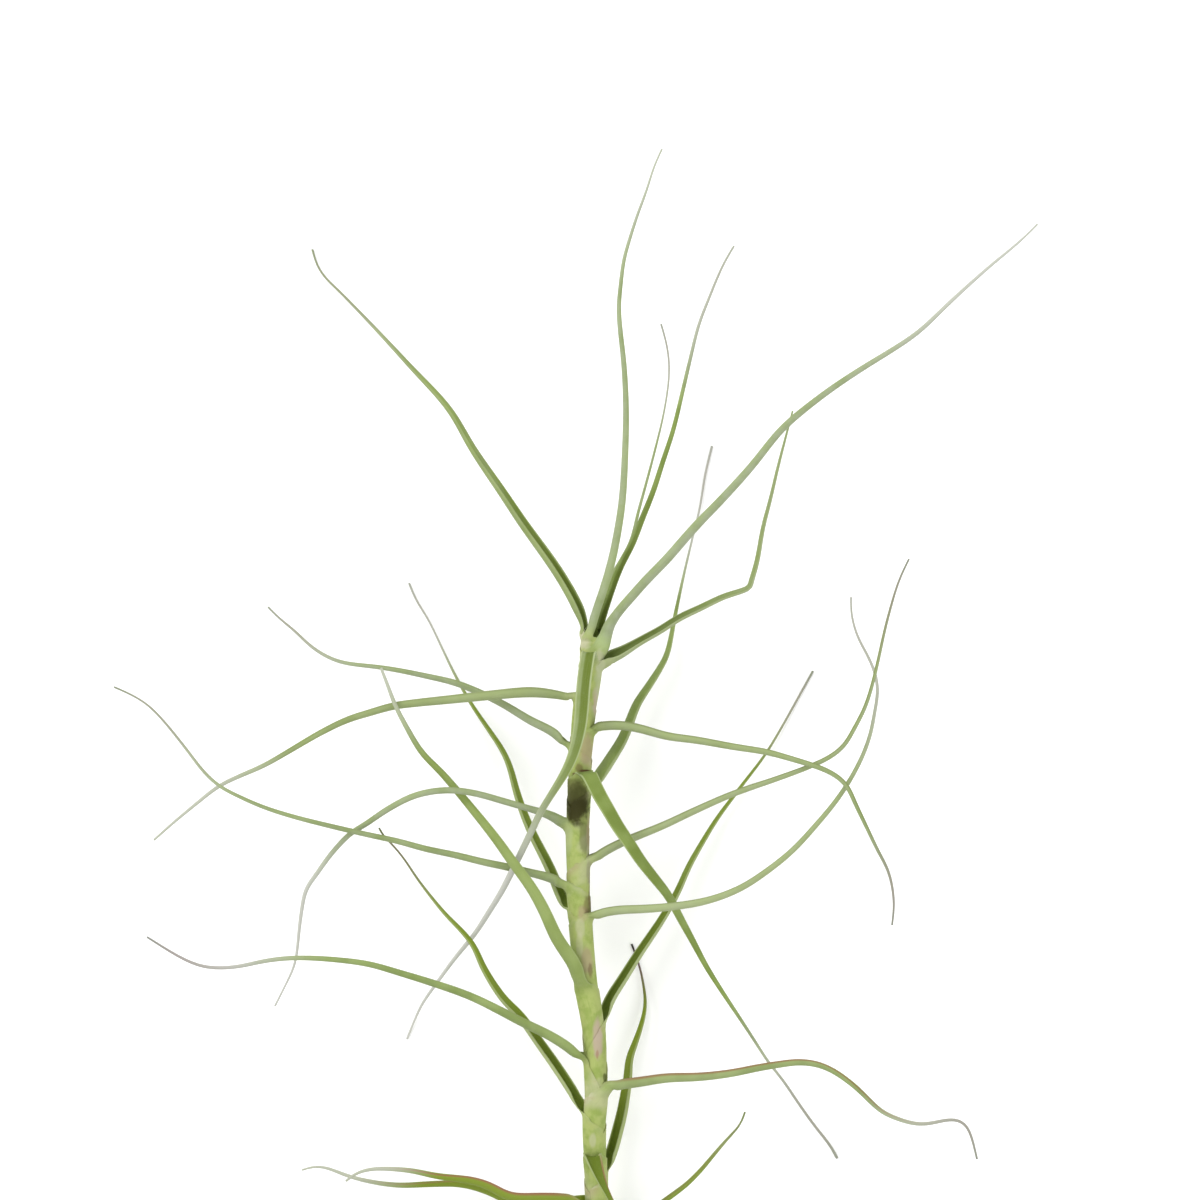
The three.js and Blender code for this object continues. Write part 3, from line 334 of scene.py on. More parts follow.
leaf("back_left_low", 22.4, 222, 3.3, holds=0.1, thins=0.98, roll=36, open=92, light=0.7, deep=1,
     warm=0.9, grey=0.15, tip=0.6, line=[
    (-5.6, 33.2, 17.4), (-10.8, 41.1, 16.8), (-15.3, 47.4, 16.8), (-21.6, 56.1, 17),
    (-25.2, 59.4, 17.2), (-29.1, 64.8, 17.6), (-32.4, 70.5, 18), (-34.8, 76.2, 18.4),
    (-38.4, 80.7, 18.6), (-42.9, 85.2, 18.6), (-47.4, 90.6, 18.4), (-52.2, 96.9, 18.2),
    (-55.5, 102, 18), (-60, 107.4, 17.6), (-62.4, 109.4, 17.2), (-63.3, 111.6, 17)])
leaf("front_low", 11.4, 100, 5.2, slim=0.4, slim_from=6, slim_to=22, open=80, flat=0.15, bloom=0.1,
     deep=1, warm=0.8, pale=0.6, red=0.8, red_half=-1, draw=2, lift=0, line=[
    (0.5, 14, 25), (1.1, 12.4, 27), (2.4, 8.4, 28.4), (4.4, 3.6, 28.8), (6.3, 0, 28.6),
    (9.4, -8, 27.2), (13, -18, 23.6), (17.4, -26, 18), (21.6, -33, 11.4), (25, -38.6, 5.6),
    (27.6, -43, 1.8), (29.4, -46, 0.4)])
leaf("back_short", 4.6, -58, 3.6, holds=0.15, thins=0.95, roll=38, open=92, light=0.6, deep=0.7,
     warm=1, grey=0, tip=1, line=[
    (6.4, 14, 12.8), (8.1, 20.2, 11.6), (9.6, 26, 10.2), (10.6, 31.8, 9), (11.4, 36.6, 7.8),
    (11.7, 42.3, 6.6), (13.2, 46.2, 5.6), (15, 51.3, 4.5), (16.2, 55.5, 3.6), (16.7, 59.1, 2.9),
    (16.2, 63.6, 2.1), (15, 69.6, 1.2), (13.4, 74.4, 0.6), (12.5, 76.8, 0.4)])
leaf("bottom_left_upper", -3.8, 170, 3.4, taper=1.3, roll=0, light=0.05, warm=1, red=1, line=[
    (-7, 0.2, 16.6), (-15, 0.6, 17.4), (-24, 0.9, 17.8), (-30.6, 4.4, 17.6), (-36.3, 6, 17.2),
    (-46.2, 7.2, 16.4), (-52.8, 8.7, 15.6), (-59.1, 9.3, 14.6), (-65.7, 9.3, 13.4),
    (-70.8, 7.8, 12.4), (-73.2, 5.7, 11.8)])
leaf("bottom_right", -17.8, -10, 2.6, slim=0.65, taper=3, roll=10, warm=0.5, rim=0.8, red=0.3,
     grey=0.15, tip=0.2, line=[
    (10.5, -9.6, 10.4), (16.5, -4.8, 10.2), (23.1, 0.3, 10), (28.8, 4.5, 9.8), (33.3, 9, 9.4),
    (37.8, 14.4, 9), (41.7, 18.9, 8.6), (45.3, 22.8, 8.2), (46.5, 26.4, 8)])
leaf("bottom_left_lower", -25.6, 186, 2.6, taper=2, roll=0, light=0.05, warm=1, red=0.6, line=[
    (-6, -17.1, 8.4), (-13.5, -10.2, 8.6), (-21, -3.3, 8.8), (-27.3, 1.2, 8.8), (-37.8, 4.7, 8.6),
    (-47.4, 4.8, 8), (-57.3, 4.4, 7.2), (-66.9, 5.7, 6.2), (-73.5, 7.5, 5.4), (-78.6, 9.6, 4.8),
    (-82.5, 10.2, 4.4), (-86.4, 9, 4)])

# ---------- helpers ----------


def mix(a, b, t):
    return a + (b - a) * t


def ease(x, low, high):
    """Rises smoothly from 0 at low to 1 at high."""
    t = np.clip((x - low) / (high - low), 0, 1)
    return t * t * (3 - 2 * t)


def unit(v):
    return v / np.linalg.norm(v, axis=-1, keepdims=True)


def value_at(table, position):
    xs, ys = zip(*table)
    return np.interp(position, xs, ys)


def between(position, places, rows):
    """What rows of values at these places come to at a position between them."""
    return np.array([np.interp(position, places, column) for column in rows.T]).T


def catmull_rom(points, spacing=STEP):
    """A centripetal Catmull-Rom curve: its points, and which of them are the given ones."""
    p = np.array(points, dtype=float)
    p = np.vstack([2 * p[0] - p[1], p, 2 * p[-1] - p[-2]])
    curve = []
    knots = []
    for i in range(1, len(p) - 2):
        p0, p1, p2, p3 = p[i - 1:i + 3]
        d0, d1, d2 = (max(np.linalg.norm(b - a), NEAREST) ** 0.5
                      for a, b in ((p0, p1), (p1, p2), (p2, p3)))
        t1 = ((p1 - p0) / d0 - (p2 - p0) / (d0 + d1) + (p2 - p1) / d1) * d1
        t2 = ((p2 - p1) / d1 - (p3 - p1) / (d1 + d2) + (p3 - p2) / d2) * d1
        count = max(2, ceil(np.linalg.norm(p2 - p1) / spacing))
        t = (np.arange(count) / count)[:, None]
        knots.append(len(curve))
        curve.extend(p1 + t1 * t + (3 * (p2 - p1) - 2 * t1 - t2) * t ** 2
                     + (2 * (p1 - p2) + t1 + t2) * t ** 3)
    knots.append(len(curve))
    curve.append(p[-2])
    return np.array(curve), knots


def resample(points):
    """The line's points at even distances, and these distances."""
    length = np.concatenate([[0], np.cumsum(np.linalg.norm(np.diff(points, axis=0), axis=1))])
    wanted = np.linspace(0, length[-1], max(2, round(length[-1] / STEP)) + 1)
    return between(wanted, length, points), wanted


def evened(points, sigma):
    """Blurs a line of evenly spaced points over sigma millimetres."""
    reach = int(KERNEL_REACH * sigma / STEP)
    kernel = np.exp(-0.5 * (np.arange(-reach, reach + 1) * STEP / sigma) ** 2)
    kernel /= kernel.sum()
    head = 2 * points[0] - points[reach:0:-1]
    tail = 2 * points[-1] - points[-2:-reach - 2:-1]
    padded = np.vstack([head, points, tail])
    blurred = np.array([np.convolve(column, kernel, mode="valid") for column in padded.T]).T
    weight = ease(np.arange(len(points)) * STEP, SMOOTH_FROM, SMOOTH_FROM + SMOOTH_BLEND * sigma)
    return mix(points, blurred, weight[:, None])


# ---------- the stem's line ----------

stem_points = catmull_rom(STEM_LINE, STEM_STEP)[0]
stem_tangents = unit(np.gradient(stem_points, axis=0))


def stem_at(y):
    """At a height on the stem: its middle, its direction, its right side and its front."""
    along = unit(between(y, stem_points[:, 1], stem_tangents))
    side = unit(np.cross(along, (0, 0, 1)))
    return between(y, stem_points[:, 1], stem_points), along, side, np.cross(side, along)


def along_sight(point):
    """Moves a point measured at the stem's height along the line of sight to its own height."""
    x, y, z = point
    middle = PLANT_MIDDLE + np.array([*PICTURE_CENTRE, 0]) / MM
    nearer = (z - middle[2] - STEM_HEIGHT / MM) * MM / CAMERA_DISTANCE
    return np.array([mix(x, middle[0], nearer), mix(y, middle[1], nearer), z])


def outward(place, angle):
    return place[2] * cos(angle) + place[3] * sin(angle)


HEIGHT_OF_COUNT = (
    [(-1, LEAVES[0].leaves + NEXT_ABOVE)]
    + [(index, leaf.leaves) for index, leaf in enumerate(LEAVES)]
    + [(len(LEAVES) + index, LOWEST_SHEATH - drop) for index, drop in enumerate(NEXT_BELOW)]
)
COUNT_OF_HEIGHT = [(height, count) for count, height in reversed(HEIGHT_OF_COUNT)]


def count_at(y):
    """How many leaves, with a fraction, have parted above this height."""
    return value_at(COUNT_OF_HEIGHT, y)


def height_of(count):
    return value_at(HEIGHT_OF_COUNT, count)


def sheath_radius(index, y):
    return value_at(STEM_TAPER, y) - LAYER_STEP * (count_at(y) - index)


# ---------- a leaf ----------


def midrib(leaf, index):
    """The leaf's line from the mouth of its sheath to its tip, the directions along it and into
    its channel, the distances along it, and the one where the blade is free of the stem."""
    angle = radians(leaf.around)
    foot = stem_at(leaf.leaves)

    def on_sheath(rise, clear):
        place = stem_at(leaf.leaves + rise)
        radius = sheath_radius(index, leaf.leaves + rise) + clear
        return place[0] + outward(place, angle) * radius

    start = on_sheath(0, 0)
    line = [start - foot[1] * LEAD_LENGTH, start, on_sheath(MOUTH_RISE, MOUTH_CLEAR),
            *map(along_sight, leaf.line)]
    curve, knots = catmull_rom(line)
    hugging = np.diff(curve[knots[1]:knots[3] + 1], axis=0)
    free = np.linalg.norm(hugging, axis=1).sum()
    points, distances = resample(curve[knots[1]:])
    points = evened(points, leaf.smoothing)
    along = unit(np.gradient(points, axis=0))
    inward = np.empty_like(points)
    carried = -outward(foot, angle)
    for step, direction in enumerate(along):
        carried = unit(carried - direction * np.dot(carried, direction))
        inward[step] = carried
    if leaf.roll is None:
        return points, along, inward, distances, free
    # In the open the channel faces by its own roll, on the side that it had against the stem.
    level = unit(np.cross(along, (0, 0, 1)))
    upward = np.cross(level, along)
    hand = np.sign((inward * level).sum(axis=1)[int(HAND_FROM / STEP):].sum()) or 1
    roll = radians(leaf.roll)
    facing = level * hand * cos(roll) + upward * sin(roll)
    turned = ease(distances, ROLL_FROM, ROLL_FROM + ROLL_LENGTH)[:, None]
    return points, along, unit(mix(inward, facing, turned)), distances, free


def row(middle, inward, across, radius, half, wall, full):
    """A cross-section: the outer arc, a rounded margin, the inner face back and the other
    margin. full turns the channel from open to filled."""
    u = np.linspace(-1, 1, ARC_POINTS)
    centre = middle + inward * radius

    def place(angle, distance):
        return (centre - inward * (np.cos(angle) * distance)[:, None]
                + across * (np.sin(angle) * distance)[:, None])

    ones = np.ones_like(u)
    outer = place(u * half, radius * ones)
    walled = place(u * half * INNER_SPAN, (radius - wall) * ones)
    dip = FILLED_DIP * (1 - u * u) * (1 - full)
    filled = place(pi - u * (pi - half) * FILLED_SPAN, radius * (FILLED_RADIUS - dip))
    inner = mix(walled, filled, full)
    thickness = np.linalg.norm(outer[[0, -1]] - inner[[0, -1]], axis=1)
    ends = np.array([-half, half])
    tangent = np.cos(ends)[:, None] * across + np.sin(ends)[:, None] * inward
    bulge = tangent * (np.sign(ends) * thickness * RIM_BULGE)[:, None]
    rims = (outer[[0, -1]] + inner[[0, -1]]) / 2 + bulge
    return np.vstack([outer, rims[1:], inner[::-1], rims[:1]])


# How far each point of it is from the midrib to a margin, and whether it is on the inner face:
SIDES = np.concatenate([np.linspace(-1, 1, ARC_POINTS), [1], np.linspace(1, -1, ARC_POINTS), [-1]])
INNER = np.concatenate([np.zeros(ARC_POINTS), [0.5], np.ones(ARC_POINTS), [0.5]])


def as_seen(ring, point, along, facing, width, amount):
    """Scales and moves a cross-section by amount until, seen from above, it is width across and
    centred on the leaf's line. Also returns which way is to the right on the way to the tip."""
    right = np.array([along[1], -along[0], 0.0])
    level = np.linalg.norm(right)
    right = right / max(level, TINY)
    seen = ease(level, *LEVEL_BLEND)
    offset = (ring - point) @ right
    scale = mix(1.0, width / (offset.max() - offset.min()), amount * seen)
    ring = point + (ring - point) * scale
    offset = offset * scale
    outer = -np.dot(facing, right)
    edge = width / 2 * np.sign(outer) - (offset.max() if outer > 0 else offset.min())
    centre = -(offset.max() + offset.min()) / 2
    move = amount * mix(centre, edge, ease(abs(outer), *SIDEWAYS_BLEND))
    return ring + right * seen * move, right


def width_at(leaf, share, distance):
    slim = mix(1, leaf.slim, ease(distance, leaf.slim_from, leaf.slim_to))
    if leaf.thins is None:
        profile = value_at(WIDTH_PROFILE, share ** leaf.taper)
    else:
        profile = mix(1, THIN_SHARE, ease(share, leaf.holds, leaf.thins))
    return max(leaf.width * slim * profile, TIP_WIDTH)


def sheath_rows(leaf, index, lift):
    """The cross-sections of a leaf's sheath, and their distances from its mouth."""
    angle = radians(leaf.around)
    skew = radians(leaf.skew)
    notch = leaf.notch
    root = max(height_of(index + SHEATH_REACH), LOWEST_SHEATH)
    rows = []
    reach = []
    for height in np.append(np.arange(root, leaf.leaves - notch, SHEATH_STEP),
                            leaf.leaves - np.arange(notch, 0, -NOTCH_STEP)):
        past = height - leaf.leaves
        place = stem_at(height)
        out = outward(place, angle + skew * ease(past, -notch - SKEW_RUN, -notch))
        radius = sheath_radius(index, height)
        open_share = np.clip((past + notch) / notch, 0, 1)
        half = radians(mix(CLOSED_ANGLE, MOUTH_ANGLE, open_share ** NOTCH_POWER))
        ring = row(place[0] + out * radius, -out, np.cross(-out, place[1]), radius, half,
                   SHEATH_WALL, 0.0)
        rows.append(ring + lift * ease(past, -notch - LIFT_RUN, -notch))
        reach.append(past)
    return rows, reach


def leaf_rows(leaf, index):
    """The leaf's cross-sections, their distances from the mouth, its length, and the sign that
    turns the side of a point into right or left of the way to the tip."""
    angle = radians(leaf.around)
    skew = radians(leaf.skew)
    draw = leaf.draw
    upward = stem_at(leaf.leaves)[1]
    mouth_radius = sheath_radius(index, leaf.leaves)
    front = ease(SIDES * cos(angle + pi), -FRONT_BLEND, FRONT_BLEND)
    share_of_lift = np.abs(SIDES) ** LIFT_POWER * mix(HIDDEN_LIFT, 1, 1 if skew else front)
    lift = (leaf.lift * share_of_lift)[:, None] * upward
    rows, reach = sheath_rows(leaf, index, lift)
    points, along, inward, distances, free = midrib(leaf, index)
    whole = distances[-1]
    open_angle = radians(leaf.open)
    turn = 0.0
    for distance in np.concatenate([np.arange(0, MOUTH_LENGTH, MOUTH_STEP),
                                    np.arange(MOUTH_LENGTH, whole, ROW_STEP), [whole]]):
        at = min(int(round(distance / (distances[1] - distances[0]))), len(points) - 1)
        point = points[at]
        share = distance / whole
        clear = ease(distance / max(free, draw), CLEAR_FROM, 1)
        width = width_at(leaf, share, distance)
        own = width / 2 / sin(min(open_angle, pi / 2))
        foot = mouth_radius + MOUTH_SWELL * ease(distance, 0, SWELL_LENGTH)
        radius = mix(foot, own, clear)
        drawn = ease(distance, 0, draw)
        arc = mix(mouth_radius * radians(MOUTH_ANGLE), own * open_angle, drawn)
        wall = mix(SHEATH_WALL, WALL_SHARE * width, clear)
        full = mix(leaf.flat * clear, 1, ease(share, *FILLING))
        upright = unit(mix(upward, along[at], ease(distance, UPRIGHT_FROM, draw)))
        facing = unit(inward[at] - upright * np.dot(inward[at], upright))
        across = np.cross(facing, upright)
        turned = skew * (1 - drawn)
        ahead = facing * cos(turned) + across * sin(turned)
        ring = row(point - facing * clear * own + radius * (facing - ahead), ahead,
                   across * cos(turned) - facing * sin(turned), radius,
                   min(arc / radius, WIDEST_ARC), wall, full)
        ring, right = as_seen(ring, point, along[at], facing, width, clear)
        turn += np.dot(across, right) * (distance > HAND_FROM)
        rows.append(ring + lift * (1 - drawn))
        reach.append(distance)
    return np.array(rows), np.array(reach), whole, np.sign(turn) or 1


def ring_faces(rings, sides):
    """Quads between rings of points, and one face over each end."""
    low = np.arange(rings * sides).reshape(rings, sides)
    after = np.roll(low, -1, axis=1)
    quads = np.stack([low[:-1], after[:-1], after[1:], low[1:]], axis=-1).reshape(-1, 4)
    return quads.tolist() + [low[0, ::-1].tolist(), low[-1].tolist()]


def add_piece(name, rings, material, values):
    """Makes a closed piece of rings of points, with these values at every point."""
    mesh = bpy.data.meshes.new(name)
    points = (rings.reshape(-1, 3) - PLANT_MIDDLE) * MM
    mesh.from_pydata(points.tolist(), [], ring_faces(*rings.shape[:2]))
    mesh.validate()
    mesh.materials.append(material)
    mesh.polygons.foreach_set("use_smooth", [True] * len(mesh.polygons))
    mesh.update()
    for key, given in values.items():
        attribute = mesh.attributes.new(key, "FLOAT", "POINT")
        attribute.data.foreach_set("value", np.asarray(given, dtype=np.float32))
    return placed(name, mesh)


def crease_margins(mesh, sides):
    """Keeps the shading of a blade's faces from running round its margins."""
    ends = np.empty(len(mesh.edges) * 2, dtype=int)
    mesh.edges.foreach_get("vertices", ends)
    ends = ends.reshape(-1, 2) % sides
    crease = (ends[:, 0] == ends[:, 1]) & np.isin(ends[:, 0], (0, ARC_POINTS - 1))
    mesh.attributes.new("sharp_edge", "BOOLEAN", "EDGE").data.foreach_set("value", crease)


# Where a leaf's colours come in or fade: in millimetres from its mouth (reach), in shares of
# its length, or of the way from its midrib to a margin (edge).
FADES = dict(
    reach=dict(sheath=(-1, 8), sheath_inside=(-1, 2), foot=(3, 6), membrane=(-7, -2),
               membrane_end=(0, 3), margin=(0, 3), rim=(0, 4), red=(2, 14)),
    share=dict(light=(0.2, 0.7), channel=(0.1, 0.55), red_end=(0.7, 0.9), tip=(0.7, 0.95)),
    edge=dict(foot_edge=(0.5, 0.75), membrane_edge=(0.6, 0.95), channel_edge=(0.92, 1),
              rim_edge=(0.8, 1), red_edge=(0.78, 0.98)),
)
INNER_BLEND = (0.4, 0.9)  # from a margin to the inner face
DARK_BLEND = 0.3  # over which what starts at a key's own place comes in
RED_BLEND = 0.2
GREY_BLEND = 0.26
AXIL_MIDDLE = 1.5  # of the painted shade at the start of a channel, in the axil
AXIL_LENGTH = 2.2
# What is left of them near the tip, and of the bloom in the channel:
LEFT = dict(channel=0.12, light=0.4, margin=0.3, rim=0.4, bloom=0.5)
BLOOM_ACROSS = (1.15, 0.7)  # at the midrib and at a margin


def leaf_masks(leaf, reach, side, inner, whole):
    """How much of each colour every point of a leaf has. side is positive on the right of the
    way to the tip."""
    share = np.clip(reach / whole, 0, 1)
    edge = np.abs(side)
    places = dict(reach=reach, share=share, edge=edge)
    fade = {key: ease(places[name], *ends)
            for name, table in FADES.items() for key, ends in table.items()}
    in_shade = in_red = 1.0
    # Painted shade: the channel's dark colour is kept to the half of it that lies in the shade of
    # its near wall.
    if leaf.dark_half:
        start = leaf.dark_from
        in_shade = ease(side * leaf.dark_half, start, start + DARK_BLEND)
    if leaf.red_half:
        in_red = ease(side * leaf.red_half, 0, RED_BLEND)
    inside = ease(inner, *INNER_BLEND)
    channel = inside * (1 - fade["foot_edge"] * (1 - fade["foot"]))
    grey_from = leaf.grey_from
    return {
        "reach": reach,
        "share": share,
        "side": side,
        "warm": np.full_like(share, leaf.warm),
        "bloom": leaf.bloom * mix(1, LEFT["bloom"], inside) * mix(*BLOOM_ACROSS, edge),
        "light": leaf.light * (1 - inside) * mix(1, LEFT["light"], fade["light"]),
        "sheath": (1 - fade["sheath"]) * (1 - inside * fade["sheath_inside"]),
        "clasp": (1 - ease(reach, 0, leaf.draw)) * (1 - inside),
        "membrane": fade["membrane"] * (1 - fade["membrane_end"]) * fade["membrane_edge"],
        "channel": leaf.deep * channel * (1 - fade["channel_edge"]) * in_shade
                   * mix(1, LEFT["channel"], fade["channel"]),
        "margin": leaf.pale * (1 - leaf.rim) * ease(edge, leaf.pale_from, 1)
                  * fade["margin"] * mix(1, LEFT["margin"], share),
        "rim": leaf.rim * fade["rim_edge"] * fade["rim"] * mix(1, LEFT["rim"], share),
        "red": leaf.red * in_red * fade["red_edge"] * fade["red"] * (1 - fade["red_end"]),
        "grey": leaf.grey * ease(share, grey_from, grey_from + GREY_BLEND),
        "tip": leaf.tip * fade["tip"],
        # Painted shade where the channel starts at the stem, in the axil.
        "axil": leaf.axil * channel * np.exp(-((reach - AXIL_MIDDLE) / AXIL_LENGTH) ** 2),
    }


def add_leaf(leaf, index, material):
    rows, reach, whole, hand = leaf_rows(leaf, index)
    rings, sides = rows.shape[:2]
    masks = leaf_masks(leaf, np.repeat(reach, sides), np.tile(SIDES * hand, rings),
                       np.tile(INNER, rings), whole)
    piece = add_piece(leaf.name + "_look", rows, material, masks)
    crease_margins(piece.data, sides)
    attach(piece, "root")
    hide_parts(leaf.name)


# ---------- materials ----------

LIGHT_LEVEL = 1.4  # of white card lying on the floor


def rgb(r, g, b):
    """A linear colour from the 0 to 255 values that it shows as in this scene's light."""
    return tuple(((c / 255 + 0.055) / 1.055) ** 2.4 / LIGHT_LEVEL for c in (r, g, b)) + (1.0,)


class Nodes:
    """A material, and a short way to write its nodes. A name in place of a value stands for
    what every point of the mesh has by that name."""

    def __init__(self, name):
        self.material = bpy.data.materials.new(name)
        self.material.use_nodes = True
        self.tree = self.material.node_tree
        self.tree.nodes.clear()
        self.shader = self.tree.nodes.new("ShaderNodeBsdfPrincipled")
        output = self.tree.nodes.new("ShaderNodeOutputMaterial")
        self.tree.links.new(self.shader.outputs["BSDF"], output.inputs["Surface"])

    def finished(self, inputs):
        """Sets these inputs of the shader and returns the material."""
        for key, value in inputs.items():
            self.put(self.shader.inputs[key], value)
        return self.material

    def put(self, socket, value):
        if isinstance(value, str):
            value = self.node("Attribute", {}, "Fac", attribute_name=value)
        if isinstance(value, bpy.types.NodeSocket):
            self.tree.links.new(value, socket)
        else:
            socket.default_value = value

    def node(self, kind, inputs, output=0, **settings):
        """Adds a node with these settings and inputs, and returns one of its outputs."""
        node = self.tree.nodes.new("ShaderNode" + kind)
        for key, value in settings.items():
            setattr(node, key, value)
        for key, value in inputs.items():
            self.put(node.inputs[key], value)
        return node.outputs[output]

    def place(self):
        return self.node("TexCoord", {}, "Object")

    def stretched(self, scales):
        """A place by what the mesh's points have by these names, times these scales."""
        axes = enumerate(scales.items())
        return self.node("CombineXYZ", {i: self.times(name, scale) for i, (name, scale) in axes})

    def add(self, a, b):
        return self.node("Math", {0: a, 1: b}, operation="ADD")

    def times(self, a, b):
        return self.node("Math", {0: a, 1: b}, operation="MULTIPLY")

    def ramp(self, value, low, high, start=0.0, end=1.0):
        return self.node("MapRange", {"Value": value, "From Min": low, "From Max": high,
                                      "To Min": start, "To Max": end},
                         "Result", interpolation_type="SMOOTHSTEP")

    def colour(self, base, over, amount):
        """Mixes two colours, through the sockets that a mix node has for them."""
        return self.node("Mix", {"Factor": amount, 6: base, 7: over}, 2, data_type="RGBA")

    def away(self, place, centre, scale):
        """How far a place is from a centre, along axes of this scale."""
        offset = self.node("VectorMath", {0: place, 1: centre}, operation="SUBTRACT")
        offset = self.node("VectorMath", {0: offset, 1: scale}, operation="MULTIPLY")
        return self.node("VectorMath", {0: offset}, "Value", operation="LENGTH")

    def noise(self, vector, scale, detail, roughness=0.55):
        return self.node("TexNoise", {"Vector": vector, "Scale": scale, "Detail": detail,
                                      "Roughness": roughness}, "Fac")

    def bump(self, height, strength, distance):
        return self.node("Bump", {"Height": height, "Strength": strength, "Distance": distance},
                         "Normal")


FRESH = rgb(150, 171, 90)
OLIVE = rgb(128, 150, 64)
WARM = rgb(132, 152, 36)
GLAUCOUS = rgb(176, 186, 154)
CHANNEL = rgb(102, 122, 22)
SHEATH = rgb(180, 194, 112)
SHEATH_GREEN = rgb(158, 178, 90)
LIME = rgb(190, 214, 140)
CREAM = rgb(216, 212, 180)
TAN = rgb(182, 166, 128)
PINK = rgb(200, 178, 160)
BROWN = rgb(112, 84, 52)
# Painted shade; under front_right's blade it is partly the sheath's own dark olive.
SHADE = rgb(96, 98, 46)
MARGIN = rgb(192, 204, 152)
RIM = rgb(104, 112, 56)
TIP_GREY = rgb(212, 212, 205)
TIP_MAUVE = rgb(120, 92, 100)
TIP_BLACK = rgb(36, 28, 26)
RED = rgb(156, 100, 70)
# Painted shade: the dark of the axils and of the deepest part of the patch under front_right.
AXIL_SHADE = rgb(58, 56, 8)
SCALES = rgb(208, 214, 192)
CORE_DARK = rgb(150, 124, 84)
CORE_PALE = rgb(196, 174, 128)
CORE_PORES = rgb(104, 78, 48)
WHITE = (0.97, 0.97, 0.97, 1.0)

# Weathered spots, and spots of painted shade, on the viewer's side of the sheaths: x, y, half
# width, half height, colour and strength. The SHADE spots and the dark axil ones are painted shade:
# the dark patch under front_right's hanging blade down to left_arched's mouth, which is partly the
# sheath's own dark olive, the darker right side of the stem lower down, and a leaf's axil low on
# the right.
# They fade between two multiples of their size.
SPOTS = [
    (4.6, 171, 3.4, 8, LIME, 0.85), (-2.2, 168.8, 2.4, 4.2, CREAM, 0.75),
    (3, 160.5, 1.5, 5, CREAM, 0.85), (2.4, 149.8, 1.6, 5.4, PINK, 0.9),
    (3.6, 151.5, 0.4, 5.6, CREAM, 0.8), (3.2, 155, 2.1, 11, MARGIN, 0.75),
    (-1, 135.2, 2.4, 5.4, TAN, 0.75), (-3.2, 129.6, 1.4, 1.6, BROWN, 0.6),
    (-4, 127.9, 1.4, 0.5, BROWN, 0.95), (-1.4, 128.8, 1.9, 0.45, BROWN, 0.95),
    (-4.3, 121.2, 4.6, 6.8, SHADE, 0.9), (-4.3, 118.6, 4.3, 6.4, AXIL_SHADE, 0.6),
    (-4.3, 116.8, 4, 4.6, AXIL_SHADE, 0.95), (-1.6, 109.6, 1.6, 6.5, SHADE, 0.5),
    (-0.2, 110.5, 0.9, 6, TAN, 0.75), (-6.6, 108.6, 1.7, 5, MARGIN, 0.5),
    (-0.4, 100.6, 0.8, 6.5, CREAM, 0.45), (-0.3, 99, 1, 5, SHADE, 0.4),
    (0.1, 91.5, 0.7, 6.5, BROWN, 0.5), (-2, 86, 2, 2.6, TAN, 0.75),
    (-0.7, 88.2, 1.6, 3, BROWN, 0.5), (-3, 81.6, 1.6, 3.6, CREAM, 0.45),
    (-0.8, 71.6, 1.9, 4.8, TAN, 0.75), (0.1, 68.6, 0.9, 2.6, BROWN, 0.6),
    (-3.2, 77, 1.2, 4, CREAM, 0.35), (2.3, 47.6, 1.6, 6.5, PINK, 0.8),
    (2.2, 43.4, 0.5, 1.6, RED, 0.45), (4.4, 36.5, 0.6, 1.6, AXIL_SHADE, 0.6),
    (0.8, 17.4, 1.2, 2.4, CREAM, 0.45), (-4.6, 3, 1.2, 3.5, BROWN, 0.6),
]
SPOT_EDGE = (0.55, 1.15)

# Noises as scale, detail and roughness, and ramps over them: from, to, and what they give there.
BROAD = (90.0, 2.0)
PATCHES = (260.0, 3.0)
SCURF = (5200.0, 2.0, 0.6)
STREAKS = (1.0, 4.0, 0.65)
STREAK_SCALES = dict(side=9.0, reach=0.09)
PORES = (2600.0, 2.0)
FIBRES = (1.0, 4.0, 0.6)
FIBRE_SCALES = dict(side=14.0, reach=0.2, ring=3.0)
RAMPS = dict(
    fresh=(0.38, 0.62), bloom=(0.3, 0.7, 0.75, 1.15), sheath=(0.34, 0.6),
    cream=(0.52, 0.68, 0, 0.4), dry=(0.4, 0.6, 0.15, 0.6), tan=(0.4, 0.6),
    channel=(0.3, 0.7, 0.8, 1), streaks=(0.5, 0.75, 0, 0.25), scurf=(0.58, 0.72, 0, 0.15),
    ragged=(0.25, 0.75, -0.2, 0.2), leaf_roughness=(0.3, 0.7, 0.52, 0.78),
    core=(0.3, 0.7), pores=(0.6, 0.75, 0, 0.7), core_roughness=(0.3, 0.7, 0.75, 0.92),
)
BLACK_TIP = (0.93, 1.0)  # shares of a leaf's length between which a dark tip turns black
YOUNG_CORE = (160.0, 166.0)  # heights between which the core turns green
LEAF_SPECULAR = 0.2
LEAF_BUMP = (0.35, 0.00012)
CORE_BUMP = (0.6, 0.0002)
SCURF_RELIEF = 0.35
PORE_RELIEF = 0.6
FLOOR_ROUGHNESS = 0.85


